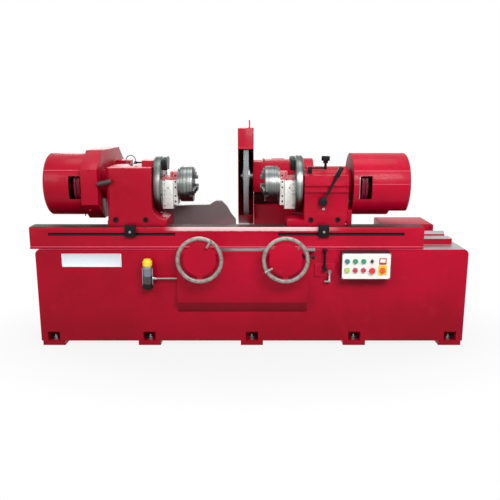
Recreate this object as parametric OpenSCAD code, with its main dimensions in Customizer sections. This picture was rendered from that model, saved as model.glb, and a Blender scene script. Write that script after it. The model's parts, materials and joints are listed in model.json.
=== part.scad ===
// Crankshaft grinding machine: a long bed, a sliding table that carries two chuck heads,
// and a wheelhead behind it that feeds a large grinding wheel to the work.
// X runs along the table to the right, Y to the rear and Z up, in millimetres.
// The origin is on the floor under the middle of the bed, in the plane of the work axis.

/* [Bed] */
// Length of the bed
bed_len = 3126; // [2800:2:3600]
// Depth of the bed's front section
bed_depth = 560; // [540:2:640]
// Height of the bed's top rim
bed_top = 730; // [650:1:800]
// Thickness of the cast walls
bed_wall = 28; // [18:1:40]
// Radius of the bed's top corners
bed_corner = 40; // [10:1:60]
// Height of the foot pads
foot_h = 35; // [20:1:50]
// Width of a foot pad
foot_w = 165; // [130:1:200]
// Distance of the outer feet from the ends of the bed
outer_foot_inset = 93; // [88:1:260]
// Distance of the inner feet from the middle
inner_foot_x = 760; // [700:1:900]
// Diameter of the anchor holes
anchor_d = 24; // [16:1:30]
// Diameter of the levelling screws
screw_d = 20; // [12:1:24]

/* [Ways] */
// Height of the ways above the rim
way_h = 49; // [30:1:60]
// Width of the flat way
way_w = 107; // [60:1:120]
// Half width of the vee way
vee_w = 32; // [25:1:36]
// Running gap between ways and slides
way_gap = 0.1; // [0.05:0.05:0.3]

/* [Apron] */
// Length of the apron
apron_len = 940; // [800:1:1000]
// How far the apron stands out of the bed
apron_proud = 55; // [30:1:80]
// Height of the apron's lower front edge
apron_low = 350; // [300:1:450]

/* [Cross bed] */
// Width of the cross bed
cross_w = 560; // [480:1:640]
// Length of the cross bed behind the front section
cross_len = 960; // [800:1:1100]
// Width of each cross way
cross_way_w = 90; // [60:1:110]

/* [Table] */
// Length of the table
table_len = 2823; // [2500:1:3000]
// Depth of the table
table_depth = 440; // [430:1:470]
// Height of the table above the bed rim
table_h = 163; // [140:1:200]
// Width of the ground way along the table's front
table_way_w = 132; // [100:1:150]
// Drop from the ground way to the rear ledge
table_step = 58; // [30:1:60]
// Height of the table's front slots
slot_h = 22; // [14:1:26]

/* [Work heads] */
// Height of the work axis above the table
centre_h = 279; // [255:1:320]
// Diameter of the spindle in its bearings
spindle_d = 150; // [120:1:160]
// Diameter of the bore through spindles and chucks
bore_d = 62; // [40:1:70]
// Radial running gap of shafts in their bores
run_gap = 0.06; // [0.03:0.01:0.1]
// Diameter of the faceplates
faceplate_d = 420; // [380:1:420]
// Thickness of the faceplates
faceplate_t = 60; // [40:1:60]
// Width of the slide bases
slide_w = 180; // [150:1:190]
// Thickness of a slide base and its throw slide together
slide_t = 110; // [100:1:112]
// Diameter of the chucks
chuck_d = 264; // [230:1:270]
// Length of the chucks
chuck_t = 112; // [90:1:114]
// Width of the chuck jaws
jaw_w = 40; // [30:1:50]
// How far the jaws stand out of the chuck
jaw_out = 32; // [24:1:42]
// Diameter of the round head covers
cover_d = 456; // [430:1:470]
// Wall of the sheet covers
sheet = 4; // [2:0.5:6]

/* [Left head] */
// X of the left head's right-hand face
left_face = -717; // [-760:1:-700]
// Length of the left head's casting
left_len = 319; // [280:1:360]
// Length of the left belt guard along the spindle
left_guard_t = 119; // [90:1:130]
// Length of the left cover
left_cover_len = 280; // [240:1:340]

/* [Right head] */
// X of the right head's left-hand face
right_face = 377; // [370:1:400]
// Length of the right head's casting
right_len = 314; // [290:1:360]
// Length of the right cover
right_cover_len = 410; // [360:1:430]

/* [Wheelhead] */
// Diameter of the grinding wheel
wheel_d = 750; // [700:1:770]
// Width of the grinding wheel
wheel_w = 40; // [30:1:50]
// X of the wheel's middle
wheel_x = -45; // [-50:1:-40]
// Y of the wheel spindle with the wheelhead drawn back
wheel_y = 606; // [600:1:640]
// Width of the wheel guard
wheel_guard_w = 125; // [110:1:130]
// Gap from wheel to guard rim
guard_gap = 24; // [15:1:26]
// Diameter of the wheel spindle
wheel_spindle_d = 110; // [90:1:120]

/* [Handwheels] */
// Diameter of the handwheels
handwheel_d = 330; // [280:1:340]
// Width of the handwheel rims
rim_w = 27; // [20:1:32]
// X of the table handwheel
table_wheel_x = -364; // [-380:1:-350]
// X of the infeed handwheel
infeed_wheel_x = 234; // [220:1:240]
// Height of the handwheel axes
handwheel_z = 692; // [680:1:700]

/* [Control box] */
// Width of the control box
box_w = 350; // [340:1:380]
// Height of the control box
box_h = 192; // [185:1:220]
// How far the control box stands out of the bed
box_proud = 90; // [60:1:110]
// X of the control box's left side
box_x = 636; // [630:1:700]
// Height of the control box's underside
box_z = 530; // [500:1:532]
// Diameter of the push buttons
button_d = 32; // [26:1:36]

/* [Hidden] */
$fn = 72;

// How far a cut runs past the faces that it opens
over = 1;

red_paint = [0.78, 0.03, 0.12];
dark_red = [0.45, 0.03, 0.07];
steel = [0.72, 0.73, 0.74];
dark_steel = [0.32, 0.34, 0.34];
black_part = [0.08, 0.08, 0.09];
white_part = [0.9, 0.9, 0.88];
abrasive = [0.5, 0.52, 0.54];
yellow_part = [0.9, 0.75, 0.05];

// Bed values
bed_front = -bed_depth / 2;
bed_rear = bed_depth / 2;
bed_end = bed_len / 2;
outer_foot_x = bed_end - outer_foot_inset;
deck_t = 45;
rib_t = 24;
bay_count = ceil(bed_len / 290);
foot_d = 95;
pocket_w = 90;
pocket_h = 70;
pocket_d = foot_d - rib_t;
foot_block_w = pocket_w + 2 * rib_t;
anchor_y = bed_rear - foot_d / 2;
screw_off = 28;
screw_gap = 0.3;
screw_head_r = screw_d * 0.75;
screw_head_h = screw_d * 0.65;
screw_len = foot_h + 40;
feet_x = [-outer_foot_x, -inner_foot_x, 0, inner_foot_x, outer_foot_x];
front_feet = [for (x = feet_x) [x, -1]];
rear_feet = [for (x = feet_x) if (x != 0) [x, 1]];
bed_feet = concat(front_feet, rear_feet);

// Ways of the bed and the table's guides
table_front = bed_front - 10;
table_back = table_front + table_depth;
way_inset = 76;
way_y = table_front + 165;
vee_y = way_y + way_w + 100;
vee_shoulder = way_h * 0.7;
vee_peak = way_h + 20;
way_top = bed_top + way_h;
guide_z = way_top + way_gap;
vee_half_gap = vee_w * (vee_peak + way_gap - way_h - way_gap) / (vee_peak - vee_shoulder);

// Cross bed
cross_x = -20;
cross_top = bed_top - 30;
cross_way_top = bed_top + 10;
cross_back = bed_rear + cross_len;
cross_way_inset = 80;
cross_way_x = [cross_x + cross_way_inset, cross_x + cross_w - cross_way_inset - cross_way_w];
ear_w = 80;
ear_d = 100;
ear_h = 60;
ear_y = cross_back - 130;
screw_x = cross_x + cross_w / 2;
feed_screw_r = 20;
trough_w = 150;
trough_z = cross_top - 100;
feed_screw_z = cross_top - 20;
trough_y = [bed_rear + 30, cross_back - 40];

// Apron
apron_x = -apron_len * 0.574;
apron_front = bed_front - apron_proud;
apron_top = bed_top - 2;
apron_slope = 90;
plug_r = 14;
plug_x = apron_x + 56;
plug_z = apron_low + 172;

// Table
table_top = bed_top + table_h;
table_mid = -180;
table_x0 = table_mid - table_len / 2;
table_x1 = table_mid + table_len / 2;
ledge_y = table_front + table_way_w;
ledge_z = table_top - table_step;
lip_t = 30;
lip_z = bed_top + 5;
table_chamfer = 10;
bead_t = 5;
bead_h = 12;
slot_z = table_top - 51;
slot_neck = 8;
slot_deep = 10;
slot_flange = 8;
left_slot = [table_x0 + 135, table_x0 + 1044];
right_slot = [table_x1 - 1045, table_x1 - 143];
clamp_slot_y = ledge_y + 150;
clamp_slot_w = 22;
clamp_slot_t = 40;
clamp_slot_d = 14;

// Trip dogs
dog_w = 75;
dog_proud = 30;
dog_rise = 21;
dog_drop = 60;
dog_gap = 0.2;
dog_xs = [left_slot[1] - 318, right_slot[0] + 324];

// Splash guard
splash_x0 = -690;
splash_x1 = -125;
splash_z = table_top + 92;
splash_low_z = table_top - 50;
// Places along the falling rim and over its hump, from the low right corner
splash_rim = [[0, 28], [-37, 75], [-68, 131], [-107, 174], [-142, 183], [-165, 175], [-205, 150]];
splash_flange = 55;
splash_bottom = bed_top + 20;

// Work heads
axis_z = table_top + centre_h;
spindle_r = spindle_d / 2;
bore_r = bore_d / 2;
chuck_bore_r = bore_r - 2;
base_t = 42;
base_front = table_front + 40;
base_back = table_back - 5;
guide_gap = 0.4;
face_gap = 0.5;
face_clear = 6;
neck_r = 110;
nose_r = 95;
tail_r = 60;
spindle_end_gap = 60;
cap_r = 78;
disc_r = cover_d / 2 - 38;
disc_t = 42;
pulley_r = 140;
pulley_t = 70;
groove_d = 10;

// Left head
left_x = left_face - left_len;
left_base_x1 = left_face + 104;
left_front = base_front;
left_back = base_back - 15;
left_top = axis_z + 137;
left_neck = 61;
left_guard_x1 = left_x - left_neck;
left_guard_x0 = left_guard_x1 - left_guard_t;
left_cover_x0 = left_guard_x0 - left_cover_len;
left_chamfer = 36;
left_cap = [left_face - 89, left_face - 0.01 * left_len];
left_cap_h = 41;
left_cap_w = 80;
guard_front = left_front;
guard_back = left_back + 600;
guard_half_h = 250;
guard_slope_y = 200;
guard_slope_z = 125;
motor_r = 110;
motor_y = left_back + 360;
motor_len = 247;
motor_pulley_r = 60;
shelf_t = 25;
motor_foot_h = 15;
shelf_z = axis_z - motor_r - motor_foot_h;
handle_len = 70;
handle_r = 15;
handle_z = axis_z + 43;
plunger_len = 62;
right_window_in = 43;
window_w = 89;
window_h = 165;
window_z = axis_z - 6;

// Right head
right_x1 = right_face + right_len;
right_base_x0 = right_face - 121;
right_base_x1 = right_x1 - 21;
right_front = base_front + 30;
right_back = base_back - 15;
right_base_top = table_top + 98;
right_box_top = axis_z + 81;
rib_z = [axis_z - 38, axis_z + 6];
rib_proud = 14;
barrel_r = 130;
right_neck = 36;
right_cover_x0 = right_x1 + right_neck;
right_cover_x1 = right_cover_x0 + right_cover_len;
notch_len = 132;
notch_z = axis_z - 184;
bracket_w = 53;
bracket_z = table_top + 110;
lever_x = right_face + 131;
lever_z = axis_z - 102;
lever_len = 275;
lever_lean = 27;
lever_boss_r = 30;
lever_t = 16;
lever_out = rib_proud + 8;
pin_x = right_face + 45;
pin_r = 14;
pin_z0 = right_box_top - 28;
pin_z1 = right_box_top + 56;
pin_y = -115;
knob_x = right_face + 157;
knob_r = 30;
knob_h = 50;

// Chuck slide
base_share = 0.68;
slide_base_t = slide_t * base_share;
throw_t = slide_t - slide_base_t;
base_low = 176;
base_high = 58;
throw_low = 150;
throw_high = 94;
throw_w = slide_w - 36;
tongue_w = 80;
tongue_t = 22;
tongue_lip = 14;
tongue_gap = 0.3;
weight_in_r = 118;
weight_out_r = faceplate_d / 2 - 4;
weight_t = 34;
weight_deg = 28;
jaw_slot_t = 26;
jaw_gap = 0.3;
jaw_in_r = bore_r + 8;
jaw_steps = [1, 0.66, 0.36];
jaw_ends = [jaw_in_r, jaw_in_r + 26, jaw_in_r + 52, jaw_in_r + 78];

// Wheelhead
wheel_r = wheel_d / 2;
guard_r = wheel_r + guard_gap + sheet;
wheel_guard_x1 = wheel_x + wheel_guard_w / 2 - 2.5;
wheel_guard_x0 = wheel_guard_x1 - wheel_guard_w;
hood_front = wheel_y - 306;
hood_z = axis_z + 242;
guard_mouth_y = wheel_y - 276;
hood_corner = 22;
stem_r = 5;
stem_h = 63;
head_front = wheel_y - 166;
head_back = head_front + 340;
head_x1 = wheel_guard_x1 + 405;
head_low = axis_z - 115;
head_top = axis_z + 130;
head_slope_y = 90;
head_slope_z = 100;
pedestal_h = 102;
pedestal_inset = 45;
wheel_spindle_r = wheel_spindle_d / 2;
slide_x = [cross_x + 40, cross_x + cross_w - 40];
slide_y = [wheel_y - 226, wheel_y + 574];
slide_plate_t = 50;
slide_z = cross_way_top + way_gap;
slide_top = head_low - pedestal_h;
nut_w = 70;
nut_len = 80;
nut_y = wheel_y + 94;
motor2_r = 125;
motor2_y = wheel_y + 420;
motor2_z = slide_top + motor2_r + motor_foot_h + 30;
motor2_len = 330;
motor2_x = [head_x1 - motor2_len, head_x1];
motor2_foot_in = [30, 90];
belt_t = 90;
belt_front_r = 150;
belt_back_r = 100;
belt_dip = 0.5;
belt_x0 = head_x1;
belt_x1 = head_x1 + belt_t;

// Handwheels and levers
handwheel_r = handwheel_d / 2;
rim_t = 26;
wheel_gap = 112;
hub_r = 34;
web_r = handwheel_r - 50;
web_t = 12;
spoke_w = 38;
spoke_t = 8;
rim_bevel = 7;
shaft_r = 14;
shaft_in = 60;
rim_front = apron_front - wheel_gap - rim_t;
grip_r = 9;
grip_len = 46;
lever_plate = [453, 600];
lever_plate_z = [530, 630];
lever_plate_t = 10;
plate_front = bed_front - lever_plate_t;
feed_x = 523;
feed_z = 595;
feed_len = 134;
feed_rod_r = 8;
ball_r = 16;
boss_r = 16;
boss_t = 34;
crank_x = 560;
crank_z = 570;
crank_len = 78;
crank_w = 12;
small_x = 375;
small_z = 690;
small_len = 58;
small_r = 6;

// Oiler
oiler_x = -748;
oiler_r = 38;
oiler_z = [452, 620];
oiler_y = bed_front - 52;
oiler_cap_h = 50;
oiler_stem_r = 8;
pipe_r = 5;
pipe_z = 524;
pipe_y = oiler_y + 12;
pipe_seat = 0.5;

// Control box
box_front = bed_front - box_proud;
box_edge = 6;
button_row_1 = box_z + 133;
button_row_2 = box_z + 68;
button_xs = [box_x + 38, box_x + 96, box_x + 154, box_x + 214];
bezel_w = 4;
bezel_h = 6;
cap_out = 16;
cap_t = 9;
stem_in = 18;
button_stem_r = 6;
part_gap = 0.3;
meter_w = 50;
meter_h = 44;
meter_t = 7;
switch_x = box_x + 290;
switch_w = 60;
switch_plate_h = 70;
switch_t = 4;
mushroom_r = 22;
selector_r = 12;
knob2_r = 21;

// Rear cover box
rear_box_x = [bed_end - 529, bed_end - 130];
rear_box_y = [table_back + 20, table_back + 380];
rear_box_h = 101;

// A block between two corners given as ranges along each axis
module block(x, y, z) {
  translate([x[0], y[0], z[0]]) cube([x[1] - x[0], y[1] - y[0], z[1] - z[0]]);
}

// An outline in the Y-Z plane drawn out along X
module along_x(x0, x1) {
  translate([x0, 0, 0]) rotate([90, 0, 90]) linear_extrude(x1 - x0) children();
}

// An outline in the X-Z plane drawn out along Y
module along_y(y0, y1) {
  translate([0, y1, 0]) rotate([90, 0, 0]) linear_extrude(y1 - y0) children();
}

module rod_x(r, x0, x1) {
  translate([x0, 0, 0]) rotate([0, 90, 0]) cylinder(r = r, h = x1 - x0);
}

module rod_y(r, y0, y1) {
  translate([0, y1, 0]) rotate([90, 0, 0]) cylinder(r = r, h = y1 - y0);
}

module rod_z(r, z0, z1) {
  translate([0, 0, z0]) cylinder(r = r, h = z1 - z0);
}

// A rectangle with round corners, between two corners
module soft_rect(a, b, r) {
  w = b[0] - a[0];
  h = b[1] - a[1];
  translate([a[0] + r, a[1]]) square([w - 2 * r, h]);
  translate([a[0], a[1] + r]) square([w, h - 2 * r]);
  for (x = [a[0] + r, b[0] - r])
    for (y = [a[1] + r, b[1] - r])
      translate([x, y]) circle(r = r);
}

// A profile of radius and length pairs turned about the X axis, away from x = 0
module turned_x(points) {
  rotate([0, 90, 0]) rotate_extrude() polygon(points);
}

// Where a screw stands beside the anchor hole of a foot
function screw_side(x) = x < 0 ? -screw_off : screw_off;

module at_feet() {
  for (f = bed_feet) translate([f[0], f[1] * anchor_y, 0]) children();
}

module bed_outline() {
  translate([-bed_end, foot_h]) square([bed_len, bed_top - foot_h - bed_corner]);
  translate([-bed_end + bed_corner, foot_h]) square([bed_len - 2 * bed_corner, bed_top - foot_h]);
  for (x = [-bed_end + bed_corner, bed_end - bed_corner])
    translate([x, bed_top - bed_corner]) circle(r = bed_corner);
}

module bed_bays() {
  pitch = (bed_len - 2 * bed_wall + rib_t) / bay_count;
  for (i = [0 : bay_count - 1])
    for (y = [bed_front + bed_wall, rib_t / 2]) {
      x0 = -bed_end + bed_wall + i * pitch;
      y1 = y + bed_rear - bed_wall - rib_t / 2;
      block([x0, x0 + pitch - rib_t], [y, y1], [foot_h - over, bed_top - deck_t]);
    }
}

module vee_ridge(half, low, peak) {
  polygon([[vee_y - half, low], [vee_y, peak], [vee_y + half, low]]);
}

module bed_ways() {
  block([-bed_end + way_inset, bed_end - way_inset], [way_y, way_y + way_w], [bed_top - over, way_top]);
  along_x(-bed_end + way_inset, bed_end - way_inset) {
    translate([vee_y - vee_w, bed_top - over]) square([2 * vee_w, vee_shoulder + over]);
    vee_ridge(vee_w, bed_top + vee_shoulder, bed_top + vee_peak);
  }
}

module foot(f) {
  y_in = f[1] * (bed_rear - foot_d);
  y_out = f[1] * bed_rear;
  ys = [min(y_in, y_out), max(y_in, y_out)];
  block([f[0] - foot_w / 2, f[0] + foot_w / 2], ys, [0, foot_h + over]);
  block([f[0] - foot_block_w / 2, f[0] + foot_block_w / 2], ys, [foot_h, foot_h + pocket_h + rib_t]);
}

module foot_pocket(f) {
  y_in = f[1] * (bed_rear - pocket_d);
  y_out = f[1] * (bed_rear + over);
  ys = [min(y_in, y_out), max(y_in, y_out)];
  block([f[0] - pocket_w / 2, f[0] + pocket_w / 2], ys, [foot_h, foot_h + pocket_h]);
}

module bed() {
  color(red_paint)
  difference() {
    union() {
      difference() {
        along_y(bed_front, bed_rear) bed_outline();
        bed_bays();
      }
      for (f = bed_feet) foot(f);
      bed_ways();
      block(lever_plate, [plate_front, bed_front + over], lever_plate_z);
    }
    for (f = bed_feet) foot_pocket(f);
    at_feet() rod_z(anchor_d / 2, -over, foot_h + over);
    for (f = bed_feet)
      translate([f[0] + screw_side(f[0]), f[1] * anchor_y, 0])
        rod_z(screw_d / 2 + screw_gap, -over, foot_h + over);
    translate([feed_x, 0, feed_z]) rod_y(shaft_r + part_gap, plate_front - over, bed_front + bed_wall + over);
    translate([crank_x, 0, crank_z]) rod_y(shaft_r + part_gap, plate_front - over, bed_front + bed_wall + over);
  }
}

ear_x = [cross_x - ear_w / 2, cross_x + cross_w + ear_w / 2];

module cross_bed() {
  color(red_paint)
  difference() {
    union() {
      block([cross_x, cross_x + cross_w], [bed_rear, cross_back], [foot_h, cross_top]);
      for (x = cross_way_x)
        block([x, x + cross_way_w], [bed_rear, cross_back - bed_wall], [cross_top - over, cross_way_top]);
      for (x = ear_x) {
        block([x - ear_w / 2, x + ear_w / 2], [ear_y - ear_d / 2, ear_y + ear_d / 2], [0, ear_h]);
        block([x - ear_w, x + ear_w], [ear_y - ear_d / 2, ear_y + ear_d / 2], [0, foot_h]);
      }
    }
    for (i = [0 : 1])
      for (j = [0 : 2]) {
        bay_w = (cross_w - 3 * bed_wall) / 2;
        bay_l = (cross_len - 4 * bed_wall) / 3;
        x0 = cross_x + bed_wall + i * (bay_w + bed_wall);
        y0 = bed_rear + bed_wall + j * (bay_l + bed_wall);
        block([x0, x0 + bay_w], [y0, y0 + bay_l], [foot_h - over, trough_z - bed_wall]);
      }
    block([screw_x - trough_w / 2, screw_x + trough_w / 2], trough_y, [trough_z, cross_way_top + over]);
    for (y = [bed_rear, trough_y[1]])
      translate([screw_x, 0, feed_screw_z]) rod_y(feed_screw_r + run_gap, y - over, y + 40);
    for (x = ear_x) {
      translate([x, ear_y, 0]) rod_z(anchor_d / 2, -over, ear_h + over);
      translate([x + screw_side(x), ear_y, 0]) rod_z(screw_d / 2 + screw_gap, -over, ear_h + over);
    }
  }
}

module levelling_screw(top) {
  rod_z(screw_d / 2, 0, top + over);
  translate([0, 0, top]) cylinder(r = screw_head_r, h = screw_head_h, $fn = 6);
}

module levelling_screws() {
  color(dark_steel) {
    for (f = bed_feet)
      translate([f[0] + screw_side(f[0]), f[1] * anchor_y, 0]) levelling_screw(foot_h + 14);
    for (x = ear_x)
      translate([x + screw_side(x), ear_y, 0]) levelling_screw(ear_h + 14);
  }
}

module apron() {
  color(red_paint)
  difference() {
    union() {
      along_x(apron_x, apron_x + apron_len)
        polygon([
          [bed_front, apron_low - apron_slope], [apron_front, apron_low],
          [apron_front, apron_top], [bed_front, apron_top]
        ]);
      translate([plug_x, 0, plug_z]) rod_y(plug_r, apron_front - plug_r, apron_front + over);
    }
    for (x = [table_wheel_x, infeed_wheel_x])
      translate([x, 0, handwheel_z]) rod_y(shaft_r + run_gap, apron_front - over, bed_front + over);
    translate([small_x, 0, small_z]) rod_y(small_r + part_gap, apron_front - over, apron_front + 30);
  }
}

module rear_cover() {
  color(red_paint)
  block(rear_box_x, rear_box_y, [bed_top, bed_top + rear_box_h]);
}

module button_place(i, z) {
  translate([button_xs[i], box_front, z]) rotate([90, 0, 0]) children();
}

module bezel(r) {
  difference() {
    translate([0, 0, -over]) cylinder(r = r + part_gap + bezel_w, h = bezel_h + over);
    cylinder(r = r + part_gap, h = bezel_h + over);
  }
}

module control_box() {
  color(black_part)
  difference() {
    union() {
      along_y(box_front, bed_front) soft_rect([box_x, box_z], [box_x + box_w, box_z + box_h], box_edge);
      for (i = [0 : 2]) {
        button_place(i, button_row_1) bezel(button_d / 2);
        button_place(i, button_row_2) bezel(button_d / 2);
      }
      along_y(box_front - meter_t, box_front + over)
        translate([switch_x - meter_w / 2, button_row_1 - meter_h / 2]) square([meter_w, meter_h]);
      along_y(box_front - switch_t, box_front + over)
        translate([switch_x - switch_w / 2, button_row_2 - switch_plate_h / 2])
          square([switch_w, switch_plate_h]);
    }
    for (i = [0 : 3])
      for (z = [button_row_1, button_row_2])
        button_place(i, z) rod_z(button_stem_r + part_gap, -stem_in - 10, over);
    translate([switch_x, box_front, button_row_2])
      rotate([90, 0, 0]) rod_z(button_stem_r + part_gap, -stem_in - 10, switch_t + over);
  }
}

// A push button drawn about its own axis, standing out of the box along +Z
module push_button(r) {
  rod_z(button_stem_r, -stem_in, cap_out);
  rod_z(r, cap_out - cap_t, cap_out);
}

module button(i, z, paint) {
  color(paint) button_place(i, z) push_button(button_d / 2);
}

module button_jog() { button(0, button_row_1, [0.1, 0.45, 0.5]); }
module button_head_start() { button(1, button_row_1, [0.1, 0.6, 0.2]); }
module button_wheel_start() { button(2, button_row_1, [0.1, 0.6, 0.2]); }
module button_lamp() { button(0, button_row_2, [0.65, 0.75, 0.2]); }
module button_head_stop() { button(1, button_row_2, [0.8, 0.1, 0.08]); }
module button_wheel_stop() { button(2, button_row_2, [0.8, 0.1, 0.08]); }

module emergency_stop() {
  color([0.8, 0.08, 0.08])
  button_place(3, button_row_2) {
    rod_z(button_stem_r, -stem_in, cap_out);
    rod_z(mushroom_r * 0.6, cap_out - cap_t, cap_out);
    rod_z(mushroom_r, cap_out - over, cap_out + cap_t);
  }
}

module selector_switch() {
  color(black_part)
  button_place(3, button_row_1) {
    rod_z(button_stem_r, -stem_in, over);
    rod_z(selector_r, part_gap, cap_out - cap_t);
    translate([0, 0, cap_out / 2]) cube([selector_r * 0.55, selector_r * 2.3, cap_out], center = true);
  }
}

module main_switch() {
  color([0.9, 0.25, 0.1])
  translate([switch_x, box_front - switch_t, button_row_2]) rotate([90, 0, 0]) {
    rod_z(button_stem_r, -stem_in, over);
    rod_z(knob2_r, part_gap, cap_t);
    translate([-knob2_r * 0.22, -knob2_r, over]) cube([knob2_r * 0.44, knob2_r * 2, cap_out]);
  }
}

module oiler_body() {
  color([0.25, 0.27, 0.33])
  difference() {
    union() {
      translate([oiler_x, oiler_y, 0]) rod_z(oiler_r, oiler_z[0], oiler_z[1]);
      block([oiler_x - 12, oiler_x + 12], [oiler_y, bed_front], [oiler_z[0] + 40, oiler_z[1] - 40]);
    }
    translate([oiler_x, oiler_y, 0]) rod_z(oiler_stem_r + part_gap, oiler_z[1] - 60, oiler_z[1] + over);
  }
}

module oiler_knob() {
  color(yellow_part)
  translate([oiler_x, oiler_y, oiler_z[1]]) {
    rod_z(oiler_stem_r, -55, over);
    rod_z(oiler_r - 4, part_gap, oiler_cap_h * 0.7);
    rod_z(oiler_r - 12, part_gap, oiler_cap_h);
  }
}

module oil_pipe() {
  color(steel)
  translate([0, pipe_y, pipe_z]) rod_x(pipe_r, oiler_x + oiler_r - pipe_seat, apron_x);
}

module tee_slot_front(x) {
  block(x, [table_front - over, table_front + slot_neck + over], [slot_z - slot_h / 2, slot_z + slot_h / 2]);
  block(x, [table_front + slot_neck, table_front + slot_neck + slot_deep],
    [slot_z - slot_h / 2 - slot_flange, slot_z + slot_h / 2 + slot_flange]);
}

module table() {
  color(red_paint)
  difference() {
    along_x(table_x0, table_x1)
      polygon([
        [table_front - bead_t, lip_z], [table_front - bead_t, lip_z + bead_h],
        [table_front, lip_z + bead_h + bead_t], [table_front, table_top - table_chamfer],
        [table_front + table_chamfer, table_top], [ledge_y, table_top], [ledge_y, ledge_z],
        [table_back, ledge_z], [table_back, lip_z], [table_back - lip_t, lip_z],
        [table_back - lip_t, guide_z], [vee_y + vee_half_gap, guide_z],
        [vee_y, bed_top + vee_peak + way_gap], [vee_y - vee_half_gap, guide_z],
        [table_front + lip_t, guide_z], [table_front + lip_t, lip_z]
      ]);
    tee_slot_front(left_slot);
    tee_slot_front(right_slot);
    block([table_x0 - over, table_x1 + over],
      [clamp_slot_y - clamp_slot_w / 2, clamp_slot_y + clamp_slot_w / 2],
      [ledge_z - clamp_slot_d - over, ledge_z + over]);
    block([table_x0 - over, table_x1 + over],
      [clamp_slot_y - clamp_slot_t / 2, clamp_slot_y + clamp_slot_t / 2],
      [ledge_z - 2 * clamp_slot_d, ledge_z - clamp_slot_d]);
  }
}

module trip_dog(x) {
  block([x - dog_w / 2, x + dog_w / 2], [table_front - dog_proud, table_front],
    [slot_z - dog_drop / 4, table_top + dog_rise]);
  block([x - dog_w / 2, x + dog_w / 2], [table_front - over, table_front + slot_neck],
    [slot_z - slot_h / 2 + dog_gap, slot_z + slot_h / 2 - dog_gap]);
}

module trip_dogs() {
  color(black_part) for (x = dog_xs) trip_dog(x);
}

module splash_outline(t) {
  rim = [for (p = splash_rim) [splash_x1 + p[0] - t, splash_low_z + p[1] - t]];
  polygon(concat(
    [[splash_x0 + t, splash_bottom], [splash_x1 - t, splash_bottom]], rim, [[splash_x0 + t, splash_z - t]]
  ));
}

module splash_guard() {
  color(dark_steel)
  difference() {
    along_y(table_back, table_back + splash_flange) splash_outline(0);
    along_y(table_back + sheet, table_back + splash_flange + over)
      translate([0, -over]) splash_outline(sheet);
  }
}

module headstock_body() {
  color(red_paint)
  difference() {
    union() {
      block([left_x, left_base_x1], [base_front, base_back], [table_top, table_top + base_t]);
      block([left_x, left_base_x1], [ledge_y + guide_gap, base_back], [ledge_z + way_gap, table_top + over]);
      difference() {
        block([left_x, left_face], [left_front, left_back], [table_top + base_t - over, left_top]);
        translate([left_x, left_front, 0]) rotate([0, 0, 45])
          cube([left_chamfer, left_chamfer, 2 * left_top], center = true);
      }
      along_y(left_front, left_back) difference() {
        translate([left_face - over, table_top + base_t - over])
          square([left_base_x1 - left_face + over, left_base_x1 - left_face + over]);
        translate([left_base_x1, table_top + base_t + left_base_x1 - left_face])
          circle(r = left_base_x1 - left_face);
      }
      block(left_cap, [-left_cap_w, left_cap_w], [left_top - over, left_top + left_cap_h]);
      translate([0, 0, axis_z]) rod_x(neck_r, left_x - left_neck, left_x + over);
      block([left_x, left_face - left_len / 2], [left_back - over, motor_y + motor_r],
        [shelf_z - shelf_t, shelf_z]);
      along_x(left_face - left_len / 2 - shelf_t, left_face - left_len / 2)
        polygon([
          [left_back - over, shelf_z - shelf_t], [motor_y + motor_r, shelf_z - shelf_t],
          [left_back - over, shelf_z - 4 * shelf_t]
        ]);
    }
    translate([0, 0, axis_z]) rod_x(spindle_r + run_gap, left_x - left_neck - over, left_face + over);
    translate([0, 0, axis_z]) rod_x(faceplate_d / 2 + face_clear, left_face, left_base_x1 + over);
    translate([left_cap[0], 0, left_top + left_cap_h / 2])
      rod_x(button_stem_r + part_gap, -over, plunger_len);
    translate([left_x + handle_r * 2, 0, handle_z])
      rod_y(button_stem_r + part_gap, left_front - over, left_front + 40);
  }
}

module guard_outline(t) {
  y0 = guard_front + t;
  y1 = guard_back - t;
  z0 = axis_z - guard_half_h + t;
  z1 = axis_z + guard_half_h - t;
  polygon([
    [y0 + guard_slope_y, z0], [y1 - guard_slope_y, z0], [y1, z0 + guard_slope_z],
    [y1, z1 - guard_slope_z], [y1 - guard_slope_y, z1], [y0 + guard_slope_y, z1],
    [y0, z1 - guard_slope_z], [y0, z0 + guard_slope_z]
  ]);
}

module headstock_guard() {
  color(red_paint)
  difference() {
    along_x(left_guard_x0, left_guard_x1) guard_outline(0);
    along_x(left_guard_x0 + sheet, left_guard_x1 - sheet) guard_outline(sheet);
    translate([0, 0, axis_z]) rod_x(cap_r, left_guard_x0 - over, left_guard_x1 + over);
    translate([0, motor_y, axis_z]) rod_x(shaft_r + 6, left_guard_x1 - 2 * sheet, left_guard_x1 + over);
  }
}

// A round sheet cover about the X axis with both ends closed and a hole for the spindle
module round_cover(length) {
  r = cover_d / 2;
  edge = 3 * sheet;
  turned_x([
    [cap_r, 0], [r, 0], [r, length - edge], [r - edge, length], [0, length], [0, length - sheet],
    [r - edge - sheet / 2, length - sheet], [r - sheet, length - edge - sheet / 2], [r - sheet, sheet],
    [cap_r, sheet]
  ]);
}

module cover_window(x0) {
  block([x0, x0 + window_w], [-cover_d, 0], [window_z - window_h / 2, window_z + window_h / 2]);
}

module headstock_cover() {
  color(red_paint)
  difference() {
    translate([left_guard_x0, 0, axis_z]) mirror([1, 0, 0]) round_cover(left_cover_len);
    cover_window(left_guard_x0 - window_w - sheet);
  }
}

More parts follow.
